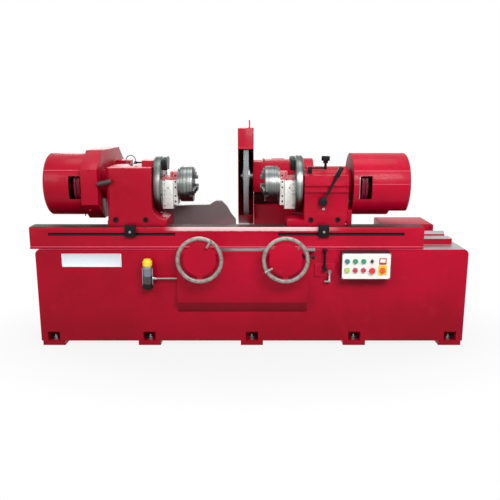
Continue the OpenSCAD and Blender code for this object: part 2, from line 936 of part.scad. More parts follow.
module electric_motor(x0, x1, r) {
  ribs = 7;
  body_len = x1 - x0;
  rod_x(r * 0.92, x0, x1 - body_len * 0.12);
  rod_x(r * 0.98, x0, x0 + body_len * 0.08);
  rod_x(r * 0.98, x1 - body_len * 0.2, x1);
  for (i = [1 : ribs])
    rod_x(r, x0 + body_len * 0.1 * i, x0 + body_len * 0.1 * i + body_len * 0.04);
  block([x0 + body_len * 0.1, x1 - body_len * 0.3], [-r * 0.8, r * 0.8], [-r - motor_foot_h, -r + motor_foot_h]);
}

module headstock_motor() {
  color(red_paint)
  translate([0, motor_y, axis_z]) {
    electric_motor(left_guard_x1, left_guard_x1 + motor_len, motor_r);
    rod_x(shaft_r, left_guard_x0 + 3 * sheet, left_guard_x1 + over);
    rod_x(motor_pulley_r, left_guard_x0 + 5 * sheet, left_guard_x1 - 4 * sheet);
  }
}

module headstock_handle() {
  color(black_part)
  translate([left_x + handle_r * 2, left_front, handle_z]) {
    rod_y(button_stem_r, -handle_r * 1.6, 30);
    translate([0, -handle_r * 1.3, 0]) rotate([0, -12, 0]) rod_x(handle_r, -handle_len - handle_r, handle_r);
  }
}

module headstock_plunger() {
  color(black_part)
  translate([left_cap[0], 0, left_top + left_cap_h / 2]) {
    rod_x(button_stem_r, -plunger_len, plunger_len * 0.6);
    rod_x(button_stem_r * 1.8, -plunger_len - button_stem_r, -plunger_len + button_stem_r * 2);
  }
}

// Work spindle from its nose at x = 0 back along -X, with its bearing length and its far end
module work_spindle(bearing, length, disc_x, belt_x) {
  rotate([0, 0, 180]) difference() {
    union() {
      turned_x([
        [0, 0], [nose_r, 0], [nose_r, face_gap / 2], [spindle_r, face_gap / 2], [spindle_r, bearing],
        [tail_r, bearing], [tail_r, length], [0, length]
      ]);
      translate([disc_x, 0, 0]) turned_x([
        [0, 0], [disc_r, 0], [disc_r, disc_t * 0.3], [disc_r - groove_d, disc_t * 0.4],
        [disc_r - groove_d, disc_t * 0.6], [disc_r, disc_t * 0.7], [disc_r, disc_t], [0, disc_t]
      ]);
      if (belt_x > 0)
        translate([belt_x, 0, 0]) turned_x([
          [0, 0], [pulley_r, 0], [pulley_r, pulley_t * 0.15], [pulley_r - groove_d, pulley_t * 0.25],
          [pulley_r, pulley_t * 0.35], [pulley_r - groove_d, pulley_t * 0.5], [pulley_r, pulley_t * 0.65],
          [pulley_r - groove_d, pulley_t * 0.75], [pulley_r, pulley_t * 0.85], [pulley_r, pulley_t],
          [0, pulley_t]
        ]);
    }
    rod_x(bore_r, -over, length + over);
  }
}

module headstock_spindle() {
  belt_x = left_len + left_neck + (left_guard_t - pulley_t) / 2;
  disc_x = left_len + left_neck + left_guard_t + (window_w - disc_t) / 2;
  color(dark_red)
  translate([left_face + face_gap / 2, 0, axis_z])
    work_spindle(left_len + left_neck, left_face - left_cover_x0 - spindle_end_gap, disc_x, belt_x);
}

// The chuck set drawn about its own axis, from the head's face out along +X
module at_left() {
  translate([left_face + face_gap / 2, 0, axis_z]) children();
}

module at_right() {
  translate([right_face - face_gap / 2, 0, axis_z]) mirror([1, 0, 0]) children();
}

module faceplate() {
  r = faceplate_d / 2;
  difference() {
    union() {
      turned_x([
        [0, 0], [r - 12, 0], [r, 12], [r, faceplate_t - 6], [r - 6, faceplate_t], [0, faceplate_t]
      ]);
      rotate([0, 90, 0]) translate([0, 0, faceplate_t - over])
        linear_extrude(weight_t + over) difference() {
          intersection() {
            circle(r = weight_out_r);
            polygon([
              [0, 0], [-faceplate_d, -faceplate_d * tan(weight_deg)],
              [-faceplate_d, faceplate_d * tan(weight_deg)]
            ]);
          }
          circle(r = weight_in_r);
        }
    }
    rod_x(bore_r, -over, faceplate_t + over);
  }
}

module slide_base() {
  x0 = faceplate_t;
  x1 = x0 + slide_base_t;
  difference() {
    block([x0, x1], [-slide_w / 2, slide_w / 2], [-base_low, base_high]);
    block([x1 - tongue_t / 2, x1 + over], [-tongue_w / 2, tongue_w / 2], [-base_low - over, base_high + over]);
    block([x1 - tongue_t, x1 - tongue_t / 2 + over / 2], [-tongue_w / 2 - tongue_lip, tongue_w / 2 + tongue_lip],
      [-base_low - over, base_high + over]);
    rod_x(bore_r, x0 - over, x1 + over);
  }
}

module throw_slide() {
  x0 = faceplate_t + slide_base_t;
  x1 = x0 + throw_t;
  neck = tongue_w / 2 - tongue_gap;
  foot_half = tongue_w / 2 + tongue_lip - tongue_gap;
  difference() {
    union() {
      block([x0, x1], [-throw_w / 2, throw_w / 2], [-throw_low, throw_high]);
      block([x0 - tongue_t / 2, x0 + over], [-neck, neck], [-throw_low, throw_high]);
      block([x0 - tongue_t + tongue_gap, x0 - tongue_t / 2 - tongue_gap / 2 + over / 2],
        [-foot_half, foot_half], [-throw_low, throw_high]);
    }
    rod_x(bore_r, x0 - tongue_t - over, x1 + over);
  }
}

chuck_x = faceplate_t + slide_t;
jaw_x = chuck_x + chuck_t - jaw_slot_t;
jaw_angles = [90, 210, 330];

module chuck() {
  r = chuck_d / 2;
  difference() {
    translate([chuck_x, 0, 0]) turned_x([
      [0, 0], [r - 14, 0], [r - 14, 14], [r, 18], [r, chuck_t - 5], [r - 5, chuck_t], [0, chuck_t]
    ]);
    rod_x(chuck_bore_r, chuck_x - over, chuck_x + chuck_t + over);
    for (a = jaw_angles) rotate([a, 0, 0])
      block([jaw_x, jaw_x + jaw_slot_t + over], [0, r + over], [-jaw_w / 2, jaw_w / 2]);
  }
}

// A stepped jaw lying along +Y before it is turned to its place
module jaw(a) {
  half = jaw_w / 2 - jaw_gap;
  color(steel) rotate([a, 0, 0]) union() {
    block([jaw_x + jaw_gap / 3, jaw_x + jaw_slot_t + over], [jaw_ends[0], jaw_ends[3]], [-half, half]);
    for (i = [0 : 2])
      block([jaw_x + jaw_slot_t, jaw_x + jaw_slot_t + jaw_out * jaw_steps[i]],
        [jaw_ends[i], jaw_ends[i + 1] + (i < 2 ? over : 0)], [-half, half]);
  }
}

module headstock_faceplate() { color(steel) at_left() faceplate(); }
module headstock_slide_base() { color(white_part) at_left() slide_base(); }
module headstock_slide() { color(white_part) at_left() throw_slide(); }
module headstock_chuck() { color(steel) at_left() chuck(); }
module headstock_jaw_1() { at_left() jaw(jaw_angles[0]); }
module headstock_jaw_2() { at_left() jaw(jaw_angles[1]); }
module headstock_jaw_3() { at_left() jaw(jaw_angles[2]); }

module tailstock_faceplate() { color(steel) at_right() faceplate(); }
module tailstock_slide_base() { color(white_part) at_right() slide_base(); }
module tailstock_slide() { color(white_part) at_right() throw_slide(); }
module tailstock_chuck() { color(steel) at_right() chuck(); }
module tailstock_jaw_1() { at_right() jaw(jaw_angles[0]); }
module tailstock_jaw_2() { at_right() jaw(jaw_angles[1]); }
module tailstock_jaw_3() { at_right() jaw(jaw_angles[2]); }

module tailstock_body() {
  body_x = right_face;
  color(red_paint)
  difference() {
    union() {
      block([right_base_x0, right_base_x1], [base_front, base_back], [table_top, table_top + base_t]);
      block([right_base_x0, right_base_x1], [ledge_y + guide_gap, base_back],
        [ledge_z + way_gap, table_top + over]);
      block([body_x, right_x1 - 12], [base_front, right_back], [table_top + base_t - over, right_base_top]);
      block([body_x, right_x1], [right_front, right_back], [right_base_top - over, right_box_top]);
      block([body_x, right_x1], [right_front - rib_proud, right_front + over], [rib_z[0], rib_z[0] + rib_proud]);
      block([body_x, right_x1], [right_front - rib_proud, right_front + over], [rib_z[1], rib_z[1] + rib_proud]);
      translate([0, 0, axis_z]) rod_x(barrel_r, body_x + 30, right_x1 + right_neck / 2);
      translate([0, 0, axis_z]) rod_x(neck_r, body_x, right_x1 + right_neck);
      block([right_x1 - over, right_x1 + right_neck], [right_front + 40, right_back],
        [table_top + way_gap, bracket_z]);
      translate([pin_x, pin_y, 0]) rod_z(pin_r * 1.7, right_box_top - over, right_box_top + 6);
    }
    translate([0, 0, axis_z]) rod_x(spindle_r + run_gap, body_x - over, right_x1 + right_neck + over);
    translate([pin_x, pin_y, 0]) rod_z(pin_r + part_gap, pin_z0 - over, pin_z1);
    translate([lever_x, 0, lever_z]) rod_y(shaft_r + part_gap, right_front - over, right_front + 50);
  }
}

module tailstock_cover() {
  color(red_paint)
  difference() {
    translate([right_cover_x0, 0, axis_z]) round_cover(right_cover_len);
    cover_window(right_cover_x0 + right_window_in);
    block([right_cover_x1 - notch_len, right_cover_x1 + over], [-cover_d, cover_d],
      [axis_z - cover_d, notch_z]);
  }
}

module tailstock_lever() {
  color(black_part)
  translate([lever_x, right_front, lever_z]) {
    rod_y(shaft_r, -lever_t - 4, 40);
    rod_y(lever_boss_r, -lever_t - lever_out - 4, -part_gap);
    rotate([0, lever_lean, 0]) {
      block([-lever_t / 2, lever_t / 2], [-lever_t - lever_out, -lever_out], [0, lever_len]);
      block([-lever_t, lever_t], [-lever_t - lever_out - 3, -lever_out + 3], [lever_len * 0.72, lever_len]);
    }
  }
}

module tailstock_plunger() {
  color(black_part) {
    translate([pin_x, pin_y, 0]) rod_z(pin_r, pin_z0, pin_z1);
    translate([0, pin_y, pin_z1 - 10]) rod_x(button_stem_r, pin_x, knob_x);
    translate([knob_x, pin_y, 0]) {
      rod_z(button_stem_r * 1.6, pin_z1 - 20, pin_z1 + 30);
      rod_z(knob_r * 0.6, pin_z1 + 25, pin_z1 + 25 + knob_h * 0.4);
      rod_z(knob_r, pin_z1 + 25 + knob_h * 0.35, pin_z1 + 25 + knob_h);
    }
  }
}

module tailstock_spindle() {
  color(dark_red)
  translate([right_face - face_gap / 2, 0, axis_z]) mirror([1, 0, 0])
    work_spindle(right_len + right_neck, right_len + right_neck + right_cover_len - spindle_end_gap,
      right_len + right_neck + right_window_in + (window_w - disc_t) / 2, 0);
}

module wheelhead_slide() {
  color(red_paint)
  difference() {
    union() {
      block(slide_x, slide_y, [slide_z, slide_z + slide_plate_t]);
      block([slide_x[0], slide_x[1] - 20], [slide_y[0] + 20, slide_y[1] - 20],
        [slide_z + slide_plate_t - over, slide_top]);
      block([screw_x - nut_w / 2, screw_x + nut_w / 2], [nut_y, nut_y + nut_len],
        [feed_screw_z - nut_w / 2, slide_z + over]);
    }
    translate([screw_x, 0, feed_screw_z]) rod_y(feed_screw_r + run_gap, nut_y - over, nut_y + nut_len + over);
  }
}

module feed_screw() {
  color(steel)
  translate([screw_x, 0, feed_screw_z]) {
    rod_y(feed_screw_r, bed_rear + 2, trough_y[1] + 36);
    rod_y(feed_screw_r * 1.4, trough_y[0] + part_gap, trough_y[0] + 14);
  }
}

module wheelhead_body() {
  color(red_paint)
  difference() {
    union() {
      along_x(wheel_guard_x1, head_x1)
        polygon([
          [head_front, head_low], [head_front, head_top], [head_back - head_slope_y, head_top],
          [head_back, head_top - head_slope_z], [head_back, head_low]
        ]);
      block([wheel_guard_x1 + sheet, head_x1 - pedestal_inset],
        [head_front + pedestal_inset, head_back - pedestal_inset], [slide_top, head_low + over]);
    }
    translate([0, wheel_y, axis_z]) rod_x(wheel_spindle_r + run_gap, wheel_guard_x1 - over, head_x1 + over);
  }
}

module guard_profile(r) {
  difference() {
    union() {
      circle(r = r);
      translate([hood_front - wheel_y + guard_r - r, 0]) square([wheel_y - hood_front - guard_r + r, r]);
    }
  }
}

module wheel_guard() {
  color(red_paint)
  difference() {
    union() {
      translate([0, wheel_y, axis_z]) along_x(wheel_guard_x0, wheel_guard_x1) guard_profile(guard_r);
      translate([wheel_x + 27, wheel_y - 200, 0]) rod_z(stem_r, axis_z + guard_r - sheet, axis_z + guard_r + stem_h);
      translate([wheel_x + 27, wheel_y - 200, 0]) rod_z(stem_r * 2, axis_z + guard_r - sheet, axis_z + guard_r + stem_r);
    }
    translate([0, wheel_y, axis_z])
      along_x(wheel_guard_x0 + sheet, wheel_guard_x1 - sheet) guard_profile(guard_r - sheet);
    block([wheel_guard_x0 - over, wheel_guard_x1 + over], [hood_front - over, guard_mouth_y],
      [axis_z - guard_r - over, hood_z]);
    block([wheel_guard_x0 - over, wheel_guard_x1 + over], [wheel_y - guard_r - over, hood_front],
      [axis_z - guard_r - over, hood_z]);
    translate([0, wheel_y, axis_z])
      rod_x(wheel_spindle_r + 4 * sheet, wheel_guard_x1 - 2 * sheet, wheel_guard_x1 + over);
  }
}

module grinding_wheel() {
  hub = wheel_spindle_r * 2.2;
  color(abrasive)
  difference() {
    translate([wheel_x - wheel_w / 2, wheel_y, axis_z]) turned_x([
      [0, 0], [wheel_r, 0], [wheel_r, wheel_w], [0, wheel_w]
    ]);
    translate([0, wheel_y, axis_z]) rod_x(hub, wheel_x - wheel_w, wheel_x + wheel_w);
  }
}

module wheel_spindle() {
  hub = wheel_spindle_r * 2.2;
  flange_t = 9;
  x0 = wheel_x - wheel_w / 2;
  x1 = wheel_x + wheel_w / 2;
  color(steel)
  translate([0, wheel_y, axis_z]) difference() {
    union() {
      rod_x(hub, x0, x1);
      rod_x(hub + 22, x0 - flange_t, x0);
      rod_x(hub + 22, x1, x1 + flange_t);
      rod_x(wheel_spindle_r * 0.6, x0 - 3 * flange_t, x0);
      rod_x(wheel_spindle_r, x1, head_x1 + sheet);
      rod_x(wheel_spindle_r * 0.7, head_x1, belt_x1 - 3 * sheet);
      rod_x(belt_back_r - 20, belt_x0 + 4 * sheet, belt_x1 - 4 * sheet);
    }
  }
}

module belt_outline(t) {
  dy = motor2_y - wheel_y;
  dz = motor2_z - axis_z;
  length = sqrt(dy * dy + dz * dz);
  turn = atan2(dz, dy);
  r1 = belt_front_r - t;
  r2 = belt_back_r - t;
  translate([wheel_y, axis_z]) rotate([0, 0, turn]) {
    circle(r = r1);
    translate([length, 0]) circle(r = r2);
    polygon([[0, belt_dip - r1], [length, belt_dip - r2], [length, r2 - belt_dip], [0, r1 - belt_dip]]);
  }
}

module wheelhead_guard() {
  color(red_paint)
  difference() {
    along_x(belt_x0, belt_x1) belt_outline(0);
    along_x(belt_x0 + sheet, belt_x1 - sheet) belt_outline(sheet);
    translate([0, wheel_y, axis_z]) rod_x(wheel_spindle_r + 2 * sheet, belt_x0 - over, belt_x0 + 2 * sheet);
    translate([0, motor2_y, motor2_z]) rod_x(shaft_r + 6, belt_x0 - over, belt_x0 + 2 * sheet);
  }
}

module wheelhead_motor() {
  color(red_paint) {
    translate([0, motor2_y, motor2_z]) {
      electric_motor(motor2_x[0], motor2_x[1], motor2_r);
      rod_x(shaft_r, motor2_x[1] - over, belt_x1 - 3 * sheet);
      rod_x(belt_back_r - 30, belt_x0 + 4 * sheet, belt_x1 - 4 * sheet);
    }
    block([motor2_x[0] + motor2_foot_in[0], motor2_x[1] - motor2_foot_in[1]], [motor2_y - motor2_r * 0.8, motor2_y + motor2_r * 0.8],
      [slide_top, motor2_z - motor2_r - motor_foot_h / 2]);
  }
}

// A handwheel about its own axis, with its shaft along +Y from the rim's front face
module handwheel(grip_deg) {
  rim_mid = handwheel_r - rim_w / 2;
  r0 = handwheel_r - rim_w;
  union() {
    rotate([-90, 0, 0]) rotate_extrude() polygon([
      [r0, rim_bevel], [r0 + rim_bevel, 0], [handwheel_r - rim_bevel, 0], [handwheel_r, rim_bevel],
      [handwheel_r, rim_t - rim_bevel], [handwheel_r - rim_bevel, rim_t], [r0 + rim_bevel, rim_t],
      [r0, rim_t - rim_bevel]
    ]);
    rod_y(web_r, rim_t * 0.45, rim_t * 0.45 + web_t);
    for (a = [90, 210, 330]) rotate([0, a, 0])
      block([0, rim_mid], [rim_t * 0.5, rim_t * 0.5 + spoke_t], [-spoke_w / 2, spoke_w / 2]);
    rod_y(hub_r, rim_t * 0.5, rim_t + wheel_gap - 1);
    rod_y(shaft_r, rim_t, rim_t + wheel_gap + shaft_in - 10);
    rotate([0, grip_deg, 0]) {
      translate([rim_mid, 0, 0]) rod_y(grip_r * 1.1, -grip_r * 1.2, rim_t / 2);
      translate([0, -grip_r * 1.2, 0]) rod_x(grip_r, rim_mid - grip_len, rim_mid + grip_r * 1.5);
    }
  }
}

module table_handwheel() {
  color(steel) translate([table_wheel_x, rim_front, handwheel_z]) handwheel(-60);
}

module infeed_handwheel() {
  color(steel) translate([infeed_wheel_x, rim_front, handwheel_z]) handwheel(150);
}

module feed_lever() {
  color(black_part)
  translate([feed_x, plate_front, feed_z]) {
    rod_y(shaft_r, -boss_t, bed_wall);
    rod_y(boss_r, -boss_t, -part_gap);
    translate([0, -boss_t * 0.6, 0]) {
      rod_z(feed_rod_r, 0, feed_len);
      translate([0, 0, feed_len]) sphere(r = ball_r);
    }
  }
}

module crank_handle() {
  color(steel)
  translate([crank_x, plate_front, crank_z]) {
    rod_y(shaft_r, -20, bed_wall);
    block([-crank_w / 2, crank_w / 2], [-24, -10], [-crank_len, 0]);
    translate([0, -17, -crank_len + crank_w / 2]) rod_x(crank_w * 0.7, -36, crank_w / 2);
  }
}

module table_lever() {
  color(black_part)
  translate([small_x, apron_front, small_z]) {
    rod_y(small_r, -16, 24);
    translate([0, -11, 0]) rotate([0, 94, 0]) {
      rod_z(small_r * 0.8, 0, small_len);
      rod_z(small_r * 2.2, small_len - small_r, small_len + small_r * 2);
    }
    translate([0, -11, 0]) rotate([0, -32, 0]) rod_z(small_r * 0.8, 0, small_len * 0.6);
  }
}

bed();
cross_bed();
levelling_screws();
apron();
rear_cover();
control_box();
oiler_body();
oil_pipe();
oiler_knob();
table();
trip_dogs();
splash_guard();
headstock_body();
headstock_guard();
headstock_cover();
headstock_motor();
headstock_handle();
headstock_plunger();
headstock_spindle();
headstock_faceplate();
headstock_slide_base();
headstock_slide();
headstock_chuck();
headstock_jaw_1();
headstock_jaw_2();
headstock_jaw_3();
tailstock_body();
tailstock_cover();
tailstock_lever();
tailstock_plunger();
tailstock_spindle();
tailstock_faceplate();
tailstock_slide_base();
tailstock_slide();
tailstock_chuck();
tailstock_jaw_1();
tailstock_jaw_2();
tailstock_jaw_3();
wheelhead_slide();
wheelhead_body();
wheel_guard();
wheelhead_motor();
wheelhead_guard();
grinding_wheel();
wheel_spindle();
feed_screw();
table_handwheel();
infeed_handwheel();
feed_lever();
crank_handle();
table_lever();
button_jog();
button_head_start();
button_wheel_start();
button_lamp();
button_head_stop();
button_wheel_stop();
emergency_stop();
selector_switch();
main_switch();
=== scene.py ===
"""Looks of the crankshaft grinding machine: paint, ground metal and the small parts on its castings."""

import json
import math

import bpy
from mathutils import Matrix, Vector

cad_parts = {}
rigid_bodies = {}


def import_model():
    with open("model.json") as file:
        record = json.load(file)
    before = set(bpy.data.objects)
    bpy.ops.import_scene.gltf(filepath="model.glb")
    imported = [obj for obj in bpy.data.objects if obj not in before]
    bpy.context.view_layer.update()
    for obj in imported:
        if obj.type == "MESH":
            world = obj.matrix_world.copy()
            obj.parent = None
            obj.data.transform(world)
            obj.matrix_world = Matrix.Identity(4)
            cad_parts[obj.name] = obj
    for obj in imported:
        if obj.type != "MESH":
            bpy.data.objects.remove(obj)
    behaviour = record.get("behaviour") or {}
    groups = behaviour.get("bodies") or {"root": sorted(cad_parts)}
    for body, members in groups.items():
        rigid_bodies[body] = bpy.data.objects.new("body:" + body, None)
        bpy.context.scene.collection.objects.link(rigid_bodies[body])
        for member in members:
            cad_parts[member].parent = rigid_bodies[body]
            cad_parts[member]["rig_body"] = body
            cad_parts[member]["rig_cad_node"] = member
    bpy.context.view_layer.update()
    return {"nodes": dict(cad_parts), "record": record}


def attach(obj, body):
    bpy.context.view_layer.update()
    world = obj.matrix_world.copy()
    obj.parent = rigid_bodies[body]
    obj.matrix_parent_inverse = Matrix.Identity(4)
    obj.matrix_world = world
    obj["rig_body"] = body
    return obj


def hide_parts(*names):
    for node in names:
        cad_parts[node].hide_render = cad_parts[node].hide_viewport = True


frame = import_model()
nodes = frame["nodes"]
body_of_node = {n: b for b, ns in frame["record"]["behaviour"]["bodies"].items() for n in ns}
slot_of_node = {s["node"]: s["material_slot"] for s in frame["record"]["subparts"]}

# Places on the machine in millimetres. X runs along the bed, Y to the rear and Z up.

MM = 0.001
ORIGIN = (0, 0, 0)
BED_FRONT = -280
BED_REAR = 280
TABLE_FRONT = -290
APRON_FRONT = -335
BOX_FRONT = -370
BASE_FRONT = -250
CLAMP_Z = 943
FOOT_TOP = 35
FOOT_Y = 232.5
OUTER_FEET = (-1470, -760, 760, 1470)
EAR_TOP = 60
EAR_Y = 1110
AXIS_Z = 1172
LEFT_FACE = -717
RIGHT_FACE = 377
WHEEL_Y = 606
TABLE_WHEEL_X = -364
INFEED_WHEEL_X = 234
HANDWHEEL_Z = 692
OILER_X = -748
OILER_Y = -332


# Shader maths


class Value:
    """One socket of a node, usable in sums."""

    def __init__(self, owner, socket):
        self.owner, self.socket = owner, socket

    def math(self, kind, *others):
        return self.owner.node("ShaderNodeMath", {"operation": kind}, dict(enumerate([self, *others])))

    def __add__(self, o):
        return self.math("ADD", o)

    def __sub__(self, o):
        return self.math("SUBTRACT", o)

    def __rsub__(self, o):
        return self.owner.node("ShaderNodeMath", {"operation": "SUBTRACT"}, {0: o, 1: self})

    def __mul__(self, o):
        return self.math("MULTIPLY", o)

    def __pow__(self, o):
        return self.math("POWER", o)

    def __lt__(self, o):
        return self.math("LESS_THAN", o)

    def __gt__(self, o):
        return self.math("GREATER_THAN", o)

    def __abs__(self):
        return self.math("ABSOLUTE")

    __radd__ = __add__
    __rmul__ = __mul__

    def rise(self, low, high):
        """0 below low, 1 above high and a smooth ramp between them."""
        settings = {"interpolation_type": "SMOOTHSTEP"}
        return self.owner.node("ShaderNodeMapRange", settings, {"Value": self, 1: low, 2: high})

    def within(self, low, high):
        return (self > low) * (self < high)


class NodeTree:
    """A tree whose nodes are made from a type, its settings and what feeds its sockets."""

    def __init__(self, tree):
        self.tree = tree

    def node(self, kind, settings=None, ins=None, out=0):
        made = self.tree.nodes.new(kind)
        for key, setting in (settings or {}).items():
            setattr(made, key, setting)
        for key, given in (ins or {}).items():
            self.feed(made.inputs[key], given)
        return Value(self, made.outputs[out]) if made.outputs else None

    def feed(self, socket, given):
        if isinstance(given, Value):
            self.tree.links.new(given.socket, socket)
        elif isinstance(given, tuple) and len(given) == 3 and socket.type == "RGBA":
            socket.default_value = (*given, 1)
        else:
            socket.default_value = given

    def looking_rays(self):
        """1 for rays from the camera, in gloss or through glass, and 0 for rays that carry light."""
        path = self.node("ShaderNodeLightPath").socket.node
        seen = Value(self, path.outputs["Is Camera Ray"])
        glossy = Value(self, path.outputs["Is Glossy Ray"])
        through = Value(self, path.outputs["Is Transmission Ray"])
        return (seen + glossy + through).math("MINIMUM", 1.0)


class Paint(NodeTree):
    """A material under construction, with the place of the shaded point in x, y and z."""

    def __init__(self, name):
        self.material = bpy.data.materials.new(name)
        self.material.use_nodes = True
        super().__init__(self.material.node_tree)
        self.shader = self.tree.nodes["Principled BSDF"]
        self.place = self.node("ShaderNodeTexCoord", out="Object")
        split = self.node("ShaderNodeSeparateXYZ", ins={0: self.place}).socket.node
        self.x, self.y, self.z = (Value(self, s) for s in split.outputs)

    def mix(self, share, a, b):
        return self.node("ShaderNodeMix", {"data_type": "RGBA"}, {0: share, 6: a, 7: b}, out=2)

    def mix_normals(self, share, a, b):
        return self.node("ShaderNodeMix", {"data_type": "VECTOR"}, {0: share, 4: a, 5: b}, out=1)

    def noise(self, scale, detail=3, place=None):
        ins = {"Vector": place or self.place, "Scale": scale, "Detail": detail, "Roughness": 0.55}
        return self.node("ShaderNodeTexNoise", ins=ins)

    def vector(self, x, y, z):
        return self.node("ShaderNodeCombineXYZ", ins={0: x, 1: y, 2: z})

    def cells(self, scale, place=None, out="Distance"):
        ins = {"Vector": place or self.place, "Scale": scale}
        return self.node("ShaderNodeTexVoronoi", ins=ins, out=out)

    def bump(self, height, strength, distance, normal=None):
        ins = {"Height": height, "Strength": strength, "Distance": distance}
        if normal:
            ins["Normal"] = normal
        return self.node("ShaderNodeBump", ins=ins)

    def finish(self, color, rough, metal=0.0, normal=None, **fixed):
        self.feed(self.shader.inputs["Base Color"], color)
        self.feed(self.shader.inputs["Roughness"], rough)
        self.feed(self.shader.inputs["Metallic"], metal)
        if normal:
            self.feed(self.shader.inputs["Normal"], normal)
        for key, number in fixed.items():
            self.feed(self.shader.inputs[key.replace("_", " ")], number)
        return self.material


# Coats of paint and metal

RED = (0.41, 0.0006, 0.021)
# Darker red, for random patches and for the painted shade low down and at the left end.
RED_SHADE = (0.235, 0.0004, 0.008)
RED_HAZE = (0.56, 0.012, 0.045)
# Painted shade: under the apron, and in the mouth of the right cover.
RED_UNDERSIDE_SHADE = (0.16, 0.0004, 0.006)
RED_MOUTH_SHADE = (0.06, 0.001, 0.005)
# Pale pink of the painted highlights along the covers' seam lines and the table's bead.
SEAM_HIGHLIGHT = (0.72, 0.16, 0.22)
EDGE_HIGHLIGHT_PINK = (0.66, 0.52, 0.52)
# Near black: oil on the table's way, painted shade in its slots and the band under the wheelhead body.
NEAR_BLACK = (0.008, 0.01, 0.01)
GROUND_STEEL = (0.24, 0.24, 0.24)
TURNED_STEEL = (0.3, 0.32, 0.31)
ENAMEL_GLOSS = {"Specular_IOR_Level": 0.13, "Coat_Roughness": 0.08}
ENAMEL_COAT = 0.05
SEAM_HALF = 1.6
TICK_RADIUS = 209
TICK_STEP = 3


def toned(color, share):
    return tuple(min(1, c * share) for c in color)


def red_layer(p, waviness=0.5, shade=0.5):
    """Hand-filled, gun-applied red enamel: its colour, with painted shade low down and towards the left
    end, its roughness and normal.
    """
    broad = p.noise(2.2, 4)
    patches = p.noise(9, 5)
    dust = p.noise(60, 4)
    color = p.mix(broad.rise(0.35, 0.7) * shade, RED, RED_SHADE)
    color = p.mix(patches.rise(0.55, 0.8) * 0.3, color, RED_HAZE)
    # Painted shade: darker towards the floor and towards the left end of the machine.
    color = p.mix((1 - p.z.rise(0.0, 0.5)) * 0.6, color, RED_SHADE)
    color = p.mix((1 - p.x.rise(-1.5, 0.1)) * 0.45, color, RED_SHADE)
    rough = 0.3 + patches * 0.16 + dust.rise(0.5, 0.8) * 0.14
    waves = p.bump(p.noise(7, 2), 0.35 * waviness, 0.02)
    peel = p.bump(p.noise(420, 1), 0.06, 0.0006, waves)
    return color, rough, peel


def ground_layer(p, along="x", pale=1.0):
    """Ground metal with fine lines along one axis and thin oil stains."""
    stretched, fine = 3, 900
    place = {axis: getattr(p, axis) * (stretched if axis == along else fine) for axis in "xyz"}
    lines = p.noise(1, 3, p.vector(**place))
    stains = p.noise(5, 5)
    tone = toned(GROUND_STEEL, pale)
    color = p.mix(stains.rise(0.45, 0.75) * 0.5, tone, toned(tone, 0.6))
    color = p.mix(lines.rise(0.3, 0.7) * 0.35, color, toned(tone, 1.5))
    rough = 0.26 + lines * 0.12 + stains * 0.14
    return color, rough, p.bump(lines, 0.12, 0.0006)


def blend_layers(p, share, under, over):
    """Two coats, paint under and metal over, divided by a mask."""
    color = p.mix(share, under[0], over[0])
    rough = under[1] * (1 - share) + over[1] * share
    return color, rough, p.mix_normals(share, under[2], over[2])


def red_enamel(
    name, waviness=0.5, shade=0.5, mask=None, metal_along="x", metal_pale=1.0,
    dark=None, dark_color=NEAR_BLACK, seam_highlights=(), edge_highlight=None,
):
    """Red enamel with pale seam lines of painted highlight, a painted highlight along an edge and darkened
    places (painted shade, oil or a near-black band), and ground metal where the mask is 1.
    """
    p = Paint(name)
    color, rough, normal = red_layer(p, waviness, shade)
    # Each seam line is a pale painted highlight with a slight bump.
    for z in seam_highlights:
        line = abs(p.z - z * MM) < SEAM_HALF * MM
        color = p.mix(line * 0.6, color, SEAM_HIGHLIGHT)
        normal = p.bump(line, 0.4, 0.001, normal)
    # A painted highlight, pale pink and smoother, where the mask picks an edge.
    if edge_highlight:
        highlit = edge_highlight(p)
        color = p.mix(highlit, color, EDGE_HIGHLIGHT_PINK)
        rough = rough * (1 - highlit * 0.4)
    # Darkened places: painted shade on the apron and the right cover, oil and painted shade on the table.
    if dark:
        darkened = dark(p)
        color = p.mix(darkened, color, dark_color)
        rough = rough + darkened * 0.2
    if mask is None:
        return p.finish(color, rough, 0.0, normal, Coat_Weight=ENAMEL_COAT, **ENAMEL_GLOSS)
    share = mask(p)
    metal = ground_layer(p, metal_along, metal_pale)
    color, rough, normal = blend_layers(p, share, (color, rough, normal), metal)
    p.feed(p.shader.inputs["Coat Weight"], ENAMEL_COAT * (1 - share))
    return p.finish(color, rough, share * 0.9, normal, **ENAMEL_GLOSS)


def ground_metal(name):
    p = Paint(name)
    color, rough, normal = ground_layer(p)
    return p.finish(color, rough, 1.0, normal)


